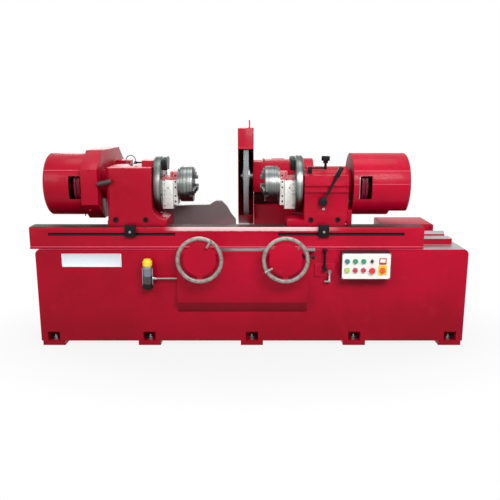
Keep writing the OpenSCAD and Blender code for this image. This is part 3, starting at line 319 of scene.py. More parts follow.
def turned_metal(name, y=0, pale=1.0, ticked=None, dark=None):
    """Metal with lathe rings about an axis along X, a painted reflection band just above axis height with
    darker metal above and below it, and rim graduations where ticked is 1.
    """
    p = Paint(name)
    dy, dz = p.y - y * MM, p.z - AXIS_Z * MM
    radius = (dy * dy + dz * dz) ** 0.5
    rings = p.noise(1, 2, p.vector(radius * 700, p.x * 700, 0.0))
    bands = p.noise(1, 2, p.vector(radius * 60, p.x * 60, 3.0))
    stains = p.noise(14, 4)
    tone = toned(TURNED_STEEL, pale)
    color = p.mix(bands.rise(0.35, 0.65) * 0.8, tone, toned(tone, 0.38))
    color = p.mix(stains.rise(0.5, 0.75) * 0.4, color, (0.1, 0.115, 0.105))
    # Painted reflection: bright just above axis height, dark greenish towards the top and bottom.
    color = p.mix(abs(dz - 0.02).rise(0.02, 0.17) * 0.7, color, (0.045, 0.06, 0.053))
    if dark:
        color = p.mix(dark(p), color, (0.04, 0.05, 0.048))
    if ticked:
        steps = dy.math("ARCTAN2", dz) * (180 / math.pi / TICK_STEP)
        tick = abs(steps.math("FRACT") - 0.5) > 0.4
        rim = radius > TICK_RADIUS * MM
        color = p.mix(tick * rim * ticked(p), color, (0.03, 0.03, 0.03))
    rough = 0.22 + bands * 0.16 + stains * 0.12
    return p.finish(color, rough, 1.0, p.bump(rings, 0.25, 0.0008))


def turned_paint(name, color):
    """Paint over lathe rings, on the spindles."""
    p = Paint(name)
    dz = p.z - AXIS_Z * MM
    radius = (p.y * p.y + dz * dz) ** 0.5
    rings = p.noise(1, 2, p.vector(radius * 300, p.x * 300, 0.0))
    spots = p.noise(30, 4)
    tone = p.mix(spots.rise(0.45, 0.75) * 0.6, color, toned(color, 0.45))
    return p.finish(tone, 0.35 + rings * 0.15, 0.0, p.bump(rings, 0.1, 0.0006), Specular_IOR_Level=0.15)


def scraped_metal(name):
    """Pale slideway metal with crescent scraping marks and red along its top."""
    p = Paint(name)
    marks = p.cells(90, p.vector(p.x, p.y * 1.5, p.z * 0.8))
    stains = p.noise(26, 5)
    color = p.mix(marks.rise(0.25, 0.7), (0.74, 0.73, 0.7), (0.62, 0.61, 0.58))
    color = p.mix(stains.rise(0.62, 0.74) * 0.7, color, (0.24, 0.23, 0.22))
    # Red, not metallic, along the top of the pale front.
    red_band = (p.z + p.noise(40, 3) * 0.02).rise(1.214, 1.222)
    red_top = red_band * (1 - p.noise(60, 2).rise(0.6, 0.7) * 0.5)
    color = p.mix(red_top * 0.9, color, (0.42, 0.01, 0.03))
    rough = 0.34 + marks * 0.15 + stains * 0.15
    return p.finish(color, rough, 0.35 * (1 - red_top), p.bump(marks, 0.15, 0.0006))


def dark_finish(name, color, rough=0.4, metal=0.6):
    """Blackened or dark painted metal with worn lighter spots."""
    p = Paint(name)
    wear = p.noise(40, 5)
    fine = p.noise(180, 3)
    lighter = tuple(min(1, c * 2 + 0.02) for c in color)
    tone = p.mix(wear.rise(0.62, 0.85) * 0.3, color, lighter)
    rough = rough + fine * 0.2 - wear * 0.1
    return p.finish(tone, rough, metal, p.bump(fine, 0.12, 0.0006), Specular_IOR_Level=0.14)


def plastic(name, color, rough=0.22, clear=0.0):
    """Moulded plastic with finger smears."""
    p = Paint(name)
    fine = p.noise(300, 2)
    smear = p.noise(50, 3)
    tone = p.mix(smear.rise(0.5, 0.8) * 0.25, color, toned(color, 0.7))
    return p.finish(tone, rough + smear * 0.12, 0.0, p.bump(fine, 0.05, 0.0004), Coat_Weight=clear)


def bright_metal(name, color, rough=0.16):
    """Polished steel with handling marks."""
    p = Paint(name)
    marks = p.noise(35, 5)
    fine = p.noise(500, 2)
    tone = p.mix(marks.rise(0.5, 0.8) * 0.4, color, toned(color, 0.55))
    return p.finish(tone, rough + marks * 0.16, 1.0, p.bump(fine, 0.05, 0.0004))


def abrasive(name):
    """Open-grained vitrified wheel, darker grains in a pale bond."""
    p = Paint(name)
    grain = p.cells(1100)
    pores = p.node("ShaderNodeSeparateColor", ins={0: p.cells(480, out="Color")})
    load = p.noise(9, 4)
    color = p.mix(grain.rise(0.15, 0.6), (0.33, 0.35, 0.36), (0.17, 0.18, 0.19))
    color = p.mix(pores.rise(0.85, 0.95), color, (0.5, 0.52, 0.52))
    color = p.mix(load.rise(0.4, 0.8) * 0.35, color, (0.12, 0.12, 0.13))
    return p.finish(color, 0.82 + load * 0.1, 0.0, p.bump(grain, 0.5, 0.0012))


def sheet_grey(name):
    """Grey sheet with a red cast, pink patches of painted reflection from the red castings, and streaks
    downwards.
    """
    p = Paint(name)
    blotches = p.noise(4, 5)
    drips = p.noise(1, 4, p.vector(p.x * 30, p.y * 30, p.z * 4))
    # Pink patches: painted reflection of the red paint around the guard.
    color = p.mix(blotches.rise(0.4, 0.7) * 0.6, (0.13, 0.105, 0.11), (0.24, 0.16, 0.17))
    color = p.mix(drips.rise(0.6, 0.8) * 0.3, color, (0.06, 0.055, 0.06))
    return p.finish(color, 0.34 + drips * 0.2, 0.35, p.bump(blotches, 0.1, 0.004))


# Where a finish changes on its piece


def ground_ways(p):
    """The bed's ground rim and the tops of its raised ways."""
    return (p.z.within(0.7285, 0.7315) + (p.z > 0.7765)).math("MINIMUM", 1.0)


def cross_ways(p):
    """The tops of the cross bed's ways."""
    return p.z > 0.7375


def table_edge_highlight(p):
    """A painted highlight along the table's front edge, between the heads."""
    edge = (p.z + p.noise(30, 3) * 0.006).rise(0.867, 0.871) * (p.y < -0.2795)
    return edge * p.x.rise(-0.64, -0.5) * (1 - p.x.rise(0.36, 0.66)) * 0.8


def oily_way_shaded_slots(p):
    """The oily way on top of the table, and painted shade inside its two front slots."""
    way = (p.z > 0.8922) * (p.y < -0.156)
    slots = (abs(p.z - 0.842) < 0.0205) * p.y.within(-0.2892, -0.27)
    return (way * 0.9).math("MAXIMUM", slots * (p.x.within(-1.4575, -0.5465) + p.x.within(0.1855, 1.0895)))


# Painted shade on the sloped underside of the apron.
def apron_underside_shade(p):
    return (p.z < 0.3485) * 0.75


# The band between the wheelhead body and its slide, painted near black.
def wheelhead_recess(p):
    return (p.z < 1.0572) * (p.z > 0.9555) * 0.93


# Painted shade on the left end of the right cover, in the gap by the head's body.
def right_cover_end_shade(p):
    return (p.x < 0.7288) * 0.75


def balance_weights(p):
    """The weights that stand on the faceplates, and what lies between them."""
    return p.x.within(-0.6555, 0.3155)


def faceplate_rims(p):
    return 1 - p.x.within(-0.69, 0.35)


# The finishes

red_cast = red_enamel("red_cast_enamel", 0.8)
red_sheet = red_enamel("red_sheet_enamel", 0.35, 0.35)
red_motor = red_enamel("red_motor_enamel", 0.5, 0.8)
way_metal = ground_metal("ground_way_metal")
black_oxide = dark_finish("black_oxide", (0.007, 0.007, 0.008), 0.42, 0.3)
black_paint = dark_finish("black_paint", (0.006, 0.006, 0.007), 0.4, 0.0)
black_grip = plastic("black_grip", (0.015, 0.015, 0.016), 0.5)
bright_steel = bright_metal("bright_steel", (0.5, 0.5, 0.51))
dull_steel = bright_metal("dull_steel", (0.3, 0.3, 0.31), 0.34)
crank_steel = bright_metal("crank_steel", (0.18, 0.18, 0.185), 0.36)
jaw_steel = bright_metal("hardened_jaw_steel", (0.1, 0.105, 0.105), 0.3)
chuck_metal = turned_metal("turned_chuck_metal", pale=0.8)
plate_metal = turned_metal("turned_plate_metal", ticked=faceplate_rims, dark=balance_weights)
hub_metal = turned_metal("turned_hub_metal", WHEEL_Y)
slide_metal = scraped_metal("scraped_slide_metal")
wheel_stone = abrasive("wheel_stone")
splash_grey = sheet_grey("grey_splash_sheet")
spindle_red = turned_paint("deep_red_spindle", (0.16, 0.006, 0.02))
plate_white = plastic("plate_white", (0.66, 0.7, 0.76), 0.28)
plate_edge = bright_metal("plate_edge", (0.5, 0.53, 0.58), 0.3)
cap_yellow = plastic("yellow_cap", (0.82, 0.6, 0.03))


# Modelling


def pick(o):
    bpy.ops.object.select_all(action="DESELECT")
    o.select_set(True)
    bpy.context.view_layer.objects.active = o


def edit(o, test=None):
    """Opens o for editing with all of it, or the faces that pass the test, selected."""
    pick(o)
    bpy.context.tool_settings.mesh_select_mode = (False, False, True)
    bpy.ops.object.mode_set(mode="EDIT")
    bpy.ops.mesh.select_all(action="SELECT" if test is None else "DESELECT")
    if test:
        bpy.ops.object.mode_set(mode="OBJECT")
        for f in o.data.polygons:
            f.select = bool(test(f.center / MM, f.normal))
        bpy.ops.object.mode_set(mode="EDIT")


def close():
    bpy.ops.object.mode_set(mode="OBJECT")


def smooth(o, degrees):
    pick(o)
    bpy.ops.object.shade_smooth_by_angle(angle=math.radians(degrees))
    return o


def settle(o):
    """Puts the place, turn and size of o into its mesh."""
    pick(o)
    bpy.ops.object.transform_apply(location=True, rotation=True, scale=True)
    return o


def round_edges(o, width, segments=2):
    pick(o)
    bevel = o.modifiers.new("Bevel", "BEVEL")
    bevel.width = width * MM
    bevel.segments = segments
    bevel.limit_method = "ANGLE"
    bevel.angle_limit = math.radians(35)
    bevel.use_clamp_overlap = True
    bevel.loop_slide = True
    bpy.ops.object.modifier_apply(modifier=bevel.name)
    return smooth(o, 40)


def slab(x, y, z, edge, segments=2):
    """A block between two corners, in millimetres, with its edges rounded."""
    bpy.ops.object.select_all(action="DESELECT")
    bpy.ops.mesh.primitive_cube_add(size=1, location=[(a[0] + a[1]) / 2 * MM for a in (x, y, z)])
    o = bpy.context.object
    o.scale = [(a[1] - a[0]) * MM for a in (x, y, z)]
    settle(o)
    edit(o)
    bpy.ops.mesh.bevel(offset=edge * MM, segments=segments, affect="EDGES")
    close()
    return smooth(o, 35)


TURN = {"X": (0, math.pi / 2, 0), "Y": (-math.pi / 2, 0, 0), "Z": (0, 0, 0)}


def turned(axis, at, profile, sides, edge=0.0):
    """A turned part: rings given as (distance along the axis, radius) from its start."""
    at_z, radius = profile[0]
    bpy.ops.object.select_all(action="DESELECT")
    bpy.ops.mesh.primitive_circle_add(
        vertices=sides, radius=radius * MM, fill_type="NGON", location=(0, 0, at_z * MM)
    )
    o = bpy.context.object
    settle(o)
    edit(o)
    for z, r in profile[1:]:
        bpy.ops.mesh.extrude_region_move(TRANSFORM_OT_translate={"value": (0, 0, (z - at_z) * MM)})
        share = r / radius
        bpy.ops.transform.resize(value=(share, share, 1), center_override=(0, 0, z * MM))
        at_z, radius = z, r
    bpy.ops.mesh.select_all(action="SELECT")
    bpy.ops.mesh.normals_make_consistent(inside=False)
    close()
    o.rotation_euler = TURN[axis]
    o.location = [c * MM for c in at]
    settle(o)
    return round_edges(o, edge) if edge else smooth(o, 32)


def copy_of(o):
    made = o.copy()
    made.data = o.data.copy()
    bpy.context.scene.collection.objects.link(made)
    return made


def copies(o, places):
    """The part o at the first place and a copy with its own mesh at each of the others."""
    parts = [o] + [copy_of(o) for _ in places[1:]]
    for part, at in zip(parts, places):
        part.location = [c * MM for c in at]
        settle(part)
    return parts


def about_work_axis(o, degrees):
    """Turns a settled part about the axis of the work."""
    centre = Vector((0, 0, AXIS_Z * MM))
    turn = Matrix.Rotation(math.radians(degrees), 4, "X")
    o.matrix_world = Matrix.Translation(centre) @ turn @ Matrix.Translation(-centre) @ o.matrix_world
    return settle(o)


def joined(parts):
    bpy.ops.object.select_all(action="DESELECT")
    for o in parts:
        o.select_set(True)
    bpy.context.view_layer.objects.active = parts[0]
    bpy.ops.object.join()
    return bpy.context.object


def dress(o, material):
    o.data.materials.clear()
    o.data.materials.append(material)


def place(o, name, body, material, slot=None, stands_for=()):
    """Gives a finished piece its material and name, and the body that it rides on."""
    dress(o, material)
    o.name = name
    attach(o, body)
    if stands_for:
        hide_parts(*stands_for)


def place_each(parts, name, body, material, before=0):
    """Places parts one by one, numbered on from those that came before."""
    for i, part in enumerate(parts, before + 1):
        place(part, f"{name}_{i}", body, material)


def place_group(parts, name, body, material):
    place(joined(parts), name, body, material)


def eased(node, width, material, segments=2):
    """A copy of a solid with its sharp edges eased, shown instead of it."""
    o = copy_of(nodes[node])
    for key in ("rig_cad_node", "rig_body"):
        if key in o:
            del o[key]
    o.parent = None
    pick(o)
    bpy.ops.mesh.customdata_custom_splitnormals_clear()
    edit(o)
    bpy.ops.mesh.remove_doubles(threshold=0.00002)
    bpy.ops.mesh.dissolve_limited(angle_limit=math.radians(1.0))
    close()
    round_edges(o, width, segments)
    place(o, node + "_eased", body_of_node[node], material, slot_of_node[node], (node,))


def give(node, material):
    """Puts a material on a solid that is shown as it is."""
    slots = nodes[node].data.materials
    if not slots:
        slots.append(material)
    for i in range(len(slots)):
        slots[i] = material


# Fasteners that repeat, each modelled at the origin with its head standing out


def cap_screw(axis, r, head):
    """A socket head screw whose head points down the axis, to the front or the left."""
    return turned(axis, ORIGIN, [(0, r), (-head, r), (-head, r * 0.55), (-head * 0.45, r * 0.5)], 24)


def cover_screw(axis, head=5):
    """A screw of a lid or guard, 14 mm across, whose head points up the axis."""
    return turned(axis, ORIGIN, [(0, 7), (head - 1, 7), (head, 6), (head, 3.5), (head / 2, 3)], 20)


def clamp_bolt():
    """A head's clamp bolt, with its socket."""
    return turned("Y", ORIGIN, [(0, 17), (-14, 17), (-16, 15), (-16, 8), (-9, 7.5)], 32)


def anchor():
    """The end of a foundation bolt with its nut and washer, above the foot that it holds."""
    stud = turned("Z", ORIGIN, [(0, 9), (34, 9), (37, 7)], 20)
    nut = turned("Z", (0, 0, 3), [(0, 17), (15, 17), (18, 14)], 6)
    washer = turned("Z", ORIGIN, [(0, 20), (3, 20)], 28)
    return joined([stud, nut, washer])


# Castings, covers and sheet

eased("bed", 5, red_enamel("bed_enamel", 0.9, 0.6, ground_ways, metal_pale=1.6), 3)
eased("cross_bed", 4, red_enamel("cross_bed_enamel", 0.9, 0.6, cross_ways, "y"))
eased("apron", 5, red_enamel("apron_enamel", 0.8, dark=apron_underside_shade, dark_color=RED_UNDERSIDE_SHADE), 3)
eased("rear_cover", 4, red_sheet)
# The table: painted highlights along its bead and front edge, oil on its way and painted shade in its
# slots.
eased("table", 1.6, red_enamel(
    "table_enamel", 0.4, 0.4, dark=oily_way_shaded_slots, seam_highlights=(751,), edge_highlight=table_edge_highlight
))
eased("headstock_body", 6, red_cast, 3)
eased("tailstock_body", 5, red_cast, 3)
eased("wheelhead_slide", 5, red_cast)
eased("wheelhead_body", 8, red_enamel("wheelhead_enamel", 0.8, dark=wheelhead_recess), 3)
eased("headstock_guard", 2.0, red_sheet)
eased("headstock_cover", 1.6, red_enamel("left_cover_enamel", 0.35, 0.35, seam_highlights=(1289,)))
eased("tailstock_cover", 1.6, red_enamel(
    "right_cover_enamel", 0.35, 0.35, dark=right_cover_end_shade, dark_color=RED_MOUTH_SHADE, seam_highlights=(1284, 1192)
))
eased("wheel_guard", 1.8, red_sheet)
eased("wheelhead_guard", 1.8, red_sheet)
eased("headstock_motor", 1.5, red_motor)
eased("wheelhead_motor", 1.5, red_motor)
eased("splash_guard", 0.7, splash_grey, 1)
eased("trip_dogs", 3, black_oxide)

# What turns in the two work heads

for head in ("headstock", "tailstock"):
    eased(head + "_faceplate", 2, plate_metal)
    eased(head + "_slide_base", 3, slide_metal)
    eased(head + "_slide", 3, slide_metal)
    eased(head + "_chuck", 2.5, chuck_metal)
    give(head + "_spindle", spindle_red)
    for i in (1, 2, 3):
        eased(f"{head}_jaw_{i}", 1.2, jaw_steel)

# Wheel, screws and pipe, shown as they are

give("grinding_wheel", wheel_stone)
give("wheel_spindle", hub_metal)
give("feed_screw", bright_steel)
give("levelling_screws", black_oxide)
give("oil_pipe", dull_steel)

# Handles, plungers and levers

eased("headstock_handle", 3, black_grip)
eased("headstock_plunger", 1.5, black_oxide)
eased("tailstock_lever", 3, black_paint)
eased("tailstock_plunger", 2.5, black_oxide)
eased("feed_lever", 1.5, black_paint)
eased("crank_handle", 2.0, crank_steel)
eased("table_lever", 1.5, black_paint)


# Handwheels


def handwheel_metal(name, x):
    """Steel rim and handle round a red web, divided by the distance from the wheel's axis."""
    p = Paint(name)
    dx, dz = p.x - x * MM, p.z - HANDWHEEL_Z * MM
    radius = (dx * dx + dz * dz) ** 0.5
    share = (radius > 0.1372).math("MAXIMUM", p.y < -0.4745)
    red = red_layer(p, 0.2, 0.5)
    marks = p.noise(40, 5)
    steel = p.mix(marks.rise(0.4, 0.75), (0.33, 0.315, 0.285), (0.16, 0.15, 0.135))
    color, rough, normal = blend_layers(p, share, red, (steel, 0.34 + marks * 0.2, red[2]))
    return p.finish(color, rough, share * 0.9, normal, Specular_IOR_Level=0.15)


for node, x in (("table_handwheel", TABLE_WHEEL_X), ("infeed_handwheel", INFEED_WHEEL_X)):
    eased(node, 3.0, handwheel_metal(node + "_finish", x), 3)


# Control box


def panel_finish():
    """Black box with a white face, silver bezels, a red meter frame and an amber switch plate."""
    p = Paint("control_panel_finish")
    face = p.y.within(-0.3704, -0.3692) * p.x.within(0.640, 0.982) * p.z.within(0.534, 0.718)
    proud = p.y < -0.3704
    meter = proud * p.x.within(0.899, 0.953) * p.z.within(0.63, 0.69)
    glass = meter * p.x.within(0.908, 0.944) * p.z.within(0.655, 0.679)
    switch = proud * p.x.within(0.89, 0.962) * p.z.within(0.55, 0.64)
    blotches = p.noise(20, 4)
    white = p.mix(blotches * 0.4, (0.8, 0.8, 0.76), (0.6, 0.61, 0.58))
    color = p.mix(face, (0.02, 0.02, 0.022), white)
    color = p.mix(proud, color, (0.55, 0.56, 0.57))
    color = p.mix(meter, color, (0.5, 0.02, 0.02))
    color = p.mix(glass, color, (0.8, 0.78, 0.76))
    color = p.mix(switch, color, (0.85, 0.5, 0.02))
    metal = proud * (1 - meter) * (1 - switch)
    return p.finish(color, 0.3 + blotches * 0.12, metal, p.bump(p.noise(300, 2), 0.05, 0.0004))


START_GREEN = (0.01, 0.25, 0.1)
STOP_RED = (0.5, 0.012, 0.03)

eased("control_box", 1.0, panel_finish(), 1)
for node, color in (
    ("button_jog", (0.01, 0.16, 0.19)),
    ("button_head_start", START_GREEN),
    ("button_wheel_start", START_GREEN),
    ("button_lamp", (0.42, 0.55, 0.06)),
    ("button_head_stop", STOP_RED),
    ("button_wheel_stop", STOP_RED),
    ("emergency_stop", (0.62, 0.01, 0.015)),
    ("main_switch", (0.75, 0.09, 0.01)),
    ("selector_switch", (0.02, 0.02, 0.022)),
):
    eased(node, 1.6, plastic(node + "_plastic", color, 0.2, clear=0.4))
corners = [(x, BOX_FRONT, z) for z in (539, 713) for x in (645, 977)]
place_each(copies(cap_screw("Y", 4, 2.5), corners), "panel_screw", "root", dull_steel)


# Front of the bed


def blank_plate():
    """A plain plate with a raised border, held by four rivets."""
    plate = slab((-1374, -943), (BED_FRONT - 2.5, BED_FRONT), (600, 698), 0.8)
    edit(plate, lambda c, n: n.y < -0.9 and c.y < BED_FRONT - 2)
    bpy.ops.mesh.inset(thickness=0.006, depth=-0.0004)
    close()
    place(plate, "blank_plate", "root", plate_white)
    rivet = turned("Y", ORIGIN, [(0, 3.5), (-1.2, 3.2), (-1.8, 2)], 16)
    corners = [(x, BED_FRONT - 2.3, z) for z in (607, 691) for x in (-1367, -950)]
    place_each(copies(rivet, corners), "plate_rivet", "root", plate_edge)


def apron_fittings():
    """The steel rail over the apron and the flanges that the handwheel shafts come out of."""
    rail = slab((-240, 450), (APRON_FRONT + 1, TABLE_FRONT - 7), (728, 747), 1.2)
    place(rail, "apron_rail", "root", way_metal)
    flange = turned("Y", ORIGIN, [(0, 52), (-9, 52), (-12, 48), (-12, 20), (-2, 18)], 48)
    shafts = [(x, APRON_FRONT, HANDWHEEL_Z) for x in (TABLE_WHEEL_X, INFEED_WHEEL_X)]
    place_each(copies(flange, shafts), "shaft_flange", "root", red_cast)


def anchor_nuts():
    """Anchors on the bed's nine feet and on the two ears of the cross bed."""
    places = [(x, -FOOT_Y, FOOT_TOP) for x in (*OUTER_FEET, 0)]
    places += [(x, FOOT_Y, FOOT_TOP) for x in OUTER_FEET]
    places += [(x, EAR_Y, EAR_TOP) for x in (-60, 580)]
    place_group(copies(anchor(), places), "anchor_nuts", "root", dull_steel)


blank_plate()
apron_fittings()
anchor_nuts()

# Table

dogs = [(x, TABLE_FRONT - 30, 864) for x in (-865.5, 510.5)]
place_each(copies(cap_screw("Y", 9, 6), dogs), "dog_screw", "table_body", dull_steel)


# Work heads


def clamps():
    """The two bolts that clamp each head to the table."""
    for side, body, xs in (("left", "headstock", (-976, -761)), ("right", "tailstock", (422, 616))):
        places = [(x, BASE_FRONT, CLAMP_Z) for x in xs]
        place_each(copies(clamp_bolt(), places), side + "_clamp", body, black_oxide)


def lifting_eye():
    """The ring bolt on the left head, leaning as it fell."""
    bpy.ops.object.select_all(action="DESELECT")
    bpy.ops.mesh.primitive_torus_add(
        major_segments=40, minor_segments=12, major_radius=0.034, minor_radius=0.0035,
        location=(-0.894, -0.03, 1.351), rotation=(math.radians(74), 0, math.radians(15)),
    )
    eye = settle(bpy.context.object)
    shank = turned("Z", (-890, -30, 1309), [(0, 12), (4, 12), (6, 6), (12, 5)], 24)
    place_group([eye, shank], "lifting_eye", "headstock", jaw_steel)


def slide_screws(head, face, way):
    """Small holes and screws on the pale front of the slide base."""
    holes = []
    for along, z, r in (
        (74, 1206, 4), (74, 1180, 4), (74, 1130, 4), (74, 1104, 4),
        (74, 1020, 5), (100, 1150, 5.5), (122, 1212, 5),
    ):
        rings = [(0, r), (-0.8, r), (-0.8, r * 0.6), (1.5, r * 0.5)]
        holes.append(turned("Y", (face + way * along, -90, z), rings, 20))
    place_group(holes, head + "_slide_screws", body_of_node[head + "_slide_base"], black_oxide)


def gib_screws(head, face, way):
    """The row of screws that sets the throw slide's gib."""
    gib = turned("Y", ORIGIN, [(0, 6), (-5, 6), (-6, 5), (-6, 3), (-3, 2.6)], 20)
    places = [(face + way * 152, -72, z) for z in (1050, 1090, 1154, 1194, 1240)]
    place_group(copies(gib, places), head + "_gib_screws", body_of_node[head + "_slide"], black_oxide)


def throw_screw(head, face, way):
    """The lower end of the screw that sets the throw."""
    end = turned("Z", (face + way * 128, 0, 984), [(0, 9), (18, 9)], 24, 1)
    place(end, head + "_throw_screw", body_of_node[head + "_slide_base"], dull_steel)


def key_sockets(head, face, way):
    """The chuck's three key sockets, spaced evenly round it."""
    socket = turned("Z", (face + way * 205, 0, AXIS_Z), [(127, 9), (132.5, 9), (132.5, 6), (128, 5)], 20)
    sockets = [socket, copy_of(socket), copy_of(socket)]
    for o, degrees in zip(sockets, (0, 120, 240)):
        about_work_axis(o, degrees)
    place_group(sockets, head + "_key_sockets", body_of_node[head + "_chuck"], black_oxide)


def plate_bolts(head, face, way):
    """Eight screws in a circle that hold the slide base on the faceplate."""
    bolt = turned("X", ORIGIN, [(0, 9), (way * 3, 9), (way * 3, 5), (0, 4.5)], 20)
    places = []
    for i in range(8):
        a = math.radians(22.5 + 45 * i)
        places.append((face + way * 60, 168 * math.sin(a), AXIS_Z + 168 * math.cos(a)))
    place_group(copies(bolt, places), head + "_plate_bolts", body_of_node[head + "_faceplate"], black_oxide)


def cover_fittings():
    """Screws of the left guard, the right head's oil plug and the jamb of its window."""
    behind = [(-1216, y, z) for y in (-150, 560) for z in (960, 1130)]
    place_group(copies(cap_screw("X", 8, 4), behind), "left_guard_screws", "headstock", black_oxide)
    front = [(-1156, -250, z) for z in (1010, 1290)]
    place_group(copies(cap_screw("Y", 7, 4), front), "left_guard_front_screws", "headstock", red_cast)
    plug = turned("Y", (515, -220, 1012), [(0, 11), (-3, 11), (-5, 8)], 24)
    place(plug, "oil_plug", "tailstock", dull_steel)
    jamb = slab((771, 774.5), (-213, -150), (1086, 1246), 0.5)
    place(jamb, "window_jamb", "tailstock", plate_edge)


clamps()
lifting_eye()
for head, face, way in (("headstock", LEFT_FACE, 1), ("tailstock", RIGHT_FACE, -1)):
    slide_screws(head, face, way)
    gib_screws(head, face, way)
    throw_screw(head, face, way)
    key_sockets(head, face, way)
    plate_bolts(head, face, way)
cover_fittings()


# Wheelhead


def flange_bolts():
    """Six hexagon bolts in the wheel's flange."""
    bolt = turned("X", ORIGIN, [(0, 8), (-7, 8), (-8, 6)], 6)
    places = []
    for i in range(6):
        a = math.radians(60 * i + 15)
        places.append((-74, WHEEL_Y + 82 * math.sin(a), AXIS_Z + 82 * math.cos(a)))
    place_group(copies(bolt, places), "flange_bolts", "wheel", black_oxide)


def wheelhead_fittings():
    """The hood's screws, the lid over the spindle, the oil sight and the screws of the belt guard."""
    hood = [(x, 300, z) for x in (-97, 3) for z in (1320, 1392)]
    place_group(copies(cap_screw("Y", 5, 3), hood), "hood_screws", "wheelhead", black_oxide)
    lid = slab((90, 345), (500, 700), (1302, 1308), 2.5)
    place(lid, "wheelhead_lid", "wheelhead", red_cast)
    on_lid = [(x, y, 1308) for x in (102, 333) for y in (512, 688)]
    place_group(copies(cover_screw("Z", 6), on_lid), "wheelhead_lid_screws", "wheelhead", black_oxide)
    sight = turned("Y", (330, 440, 1120), [(0, 24), (-8, 24), (-10, 21), (-10, 16), (-6, 15)], 36)
    place(sight, "oil_sight", "wheelhead", bright_steel)
    rim = ((520, 1250), (520, 1090), (760, 1275), (800, 1050), (980, 1190), (1040, 1060))
    on_guard = [(510, y, z) for y, z in rim]
    place_group(copies(cover_screw("X"), on_guard), "belt_guard_screws", "wheelhead", black_oxide)


def terminal_box(name, body, x, y, z):
    """The terminal box on a motor, with its cable gland at the back."""
    place(slab(x, y, z, 6, 3), name + "_box", body, red_cast)
    back = ((x[0] + x[1]) / 2, y[1], (z[0] + z[1]) / 2)
    gland = turned("Y", back, [(-2, 12), (10, 12), (12, 9), (20, 9)], 20)
    place(gland, name + "_gland", body, black_oxide)


flange_bolts()
wheelhead_fittings()
terminal_box("wheel_motor", "wheelhead", (180, 300), (950, 1100), (1246, 1290))
terminal_box("head_motor", "headstock", (-1100, -990), (420, 560), (1278, 1318))


# Rear of the bed


def rear_cover_fittings():
    """Front screws, lid and louvres of the cover box on the bed's right end."""
    front = [(x, 170, z) for x in (1060, 1407) for z in (750, 811)]
    place_group(copies(cap_screw("Y", 6, 3), front), "rear_cover_front_screws", "root", black_oxide)
    lid = slab((1042, 1425), (178, 522), (831, 834), 1.2)
    place(lid, "rear_cover_lid", "root", red_sheet)
    louvre = slab((1433, 1440), (200, 224), (756, 806), 2.5)
    steps = [(0, 34 * i, 0) for i in range(9)]
    place_group(copies(louvre, steps), "rear_cover_louvres", "root", red_sheet)


def rear_hatches():
    """Three screwed hatches in the back of the bed."""
    lid = slab((-190, 190), (BED_REAR, BED_REAR + 5), (250, 560), 2)
    screw = cover_screw("Y")
    for i, x in enumerate((-1180, -480, 1010)):
        corners = [(x + dx, BED_REAR + 5, z) for dx in (-172, 172) for z in (268, 542)]
        place_each(copies(copy_of(lid), [(x, 0, 0)]), "rear_hatch", "root", red_sheet, i)
        place_group(copies(copy_of(screw), corners), f"rear_hatch_screws_{i + 1}", "root", black_oxide)
    for pattern in (lid, screw):
        bpy.data.meshes.remove(pattern.data)


rear_cover_fittings()
rear_hatches()


# Oiler


def oil_glass():
    """Glass with dark oil in its lower half."""
    p = Paint("oiler_glass")
    level = p.z.rise(0.545, 0.549)
    smear = p.noise(30, 4)
    color = p.mix(level, (0.015, 0.013, 0.012), (0.13, 0.15, 0.2))
    return p.finish(color, 0.1 + smear * 0.1, 0.0, p.bump(smear, 0.05, 0.001), Coat_Weight=0.6)


def oiler():
    """The glass jar with its base and collar, in a bracket of two straps, and the pipe's fitting."""
    at = (OILER_X, OILER_Y, 0)
    jar = turned("Z", at, [(480, 30), (482, 32), (606, 32), (612, 28), (618, 28)], 40)
    base = turned("Z", at, [(452, 30), (456, 36), (484, 38), (490, 36)], 40)
    collar = turned("Z", at, [(600, 34), (600, 37), (616, 37), (620, 33)], 40)
    strap = slab((OILER_X - 38, OILER_X - 32), (OILER_Y - 12, OILER_Y + 12), (478, 604), 1.2)
    straps = copies(strap, [ORIGIN, (70, 0, 0)])
    mount_bar = slab((OILER_X - 16, OILER_X + 16), (-300, BED_FRONT), (490, 592), 3)
    fitting = turned("X", (-712, -318, 524), [(0, 12), (10, 12), (12, 8), (24, 8)], 6)
    place(jar, "oiler_jar", "root", oil_glass(), "oiler_glass", ("oiler_body",))
    place(base, "oiler_base", "root", black_paint)
    place(collar, "oiler_collar", "root", dull_steel)
    place_group([*straps, mount_bar], "oiler_bracket", "root", dull_steel)
    place(fitting, "oiler_fitting", "root", bright_steel)


oiler()
eased("oiler_knob", 2.5, cap_yellow, 3)


# Stage

WORLD_LIGHT = 0.3
FLOOR_GLOW = 0.86
CAMERA_AT = (-0.014, -4.564, 1.659)
CAMERA_PITCH = 12.3
LENS = 43.85


def backdrop_white(name, share):
    """White to the camera and in gloss, with a part of it lit so that shadows still fall on it."""
    p = Paint(name)
    p.finish((0.4, 0.4, 0.4), 0.9, Specular_IOR_Level=0.0)
    away = (p.x * p.x * 0.35 + p.y * p.y) ** 0.5
    share = share + away.rise(0.7, 1.5) * (1 - share)
    glow = p.node("ShaderNodeEmission", ins={"Color": (1.0, 1.0, 1.0), "Strength": 1.0})
    shown = p.looking_rays() * share
    surface = p.node("ShaderNodeMixShader", ins={0: shown, 1: Value(p, p.shader.outputs[0]), 2: glow})
    output = next(n for n in p.tree.nodes if n.type == "OUTPUT_MATERIAL")
    p.feed(output.inputs["Surface"], surface)
    return p.material


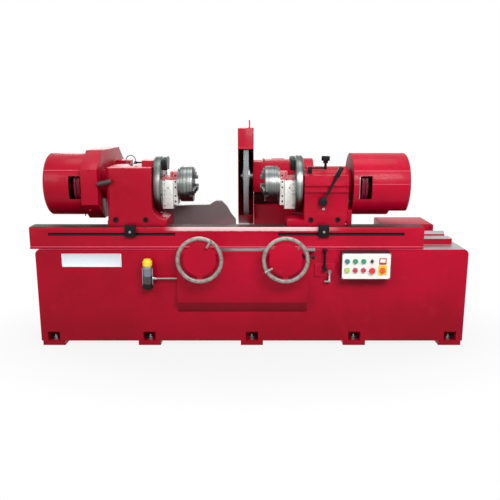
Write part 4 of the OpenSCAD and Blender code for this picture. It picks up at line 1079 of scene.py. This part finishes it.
def white_floor():
    bpy.ops.object.select_all(action="DESELECT")
    bpy.ops.mesh.primitive_plane_add(size=60, location=(0, 0, -0.0005))
    floor = bpy.context.object
    floor.name = "floor"
    dress(floor, backdrop_white("floor_white", FLOOR_GLOW))


def white_world():
    """White where it is seen, and dimmer where it lights the machine."""
    world = bpy.data.worlds.new("studio")
    bpy.context.scene.world = world
    world.use_nodes = True
    world.node_tree.nodes.clear()
    sky = NodeTree(world.node_tree)
    lit = sky.node("ShaderNodeBackground", ins={"Color": (1.0, 1.0, 1.0), "Strength": WORLD_LIGHT})
    seen = sky.node("ShaderNodeBackground", ins={"Color": (1.0, 1.0, 1.0), "Strength": 1.0})
    both = sky.node("ShaderNodeMixShader", ins={0: sky.looking_rays(), 1: lit, 2: seen})
    sky.node("ShaderNodeOutputWorld", ins={"Surface": both})


def lamp(name, at, aim, size, power):
    """A rectangular lamp at a place, turned to what it lights."""
    data = bpy.data.lights.new(name, "AREA")
    data.shape = "RECTANGLE"
    data.size, data.size_y = size
    data.energy = power
    o = bpy.data.objects.new(name, data)
    bpy.context.scene.collection.objects.link(o)
    o.location = at
    o.rotation_euler = (Vector(aim) - Vector(at)).to_track_quat("-Z", "Y").to_euler()


def photo_camera():
    """A standing person's view of the front, a little from above."""
    data = bpy.data.cameras.new("camera")
    data.lens = LENS
    data.sensor_width = 36
    camera = bpy.data.objects.new("camera", data)
    bpy.context.scene.collection.objects.link(camera)
    camera.location = CAMERA_AT
    camera.rotation_euler = (math.radians(90 - CAMERA_PITCH), 0, 0)
    bpy.context.scene.camera = camera


white_floor()
white_world()
lamp("key", (1.3, -4.0, 3.6), (0.2, 0, 0.7), (3.0, 1.4), 230)
lamp("fill", (-3.0, -3.4, 3.0), (-0.3, 0, 0.8), (2.4, 1.6), 80)
lamp("top", (0.0, 0.2, 4.6), (0, 0.2, 0.9), (4.2, 1.6), 80)
lamp("rear", (-1.5, 5.0, 3.0), (0, 0.5, 0.9), (3.0, 2.4), 90)
photo_camera()
bpy.context.scene.view_settings.view_transform = "Standard"
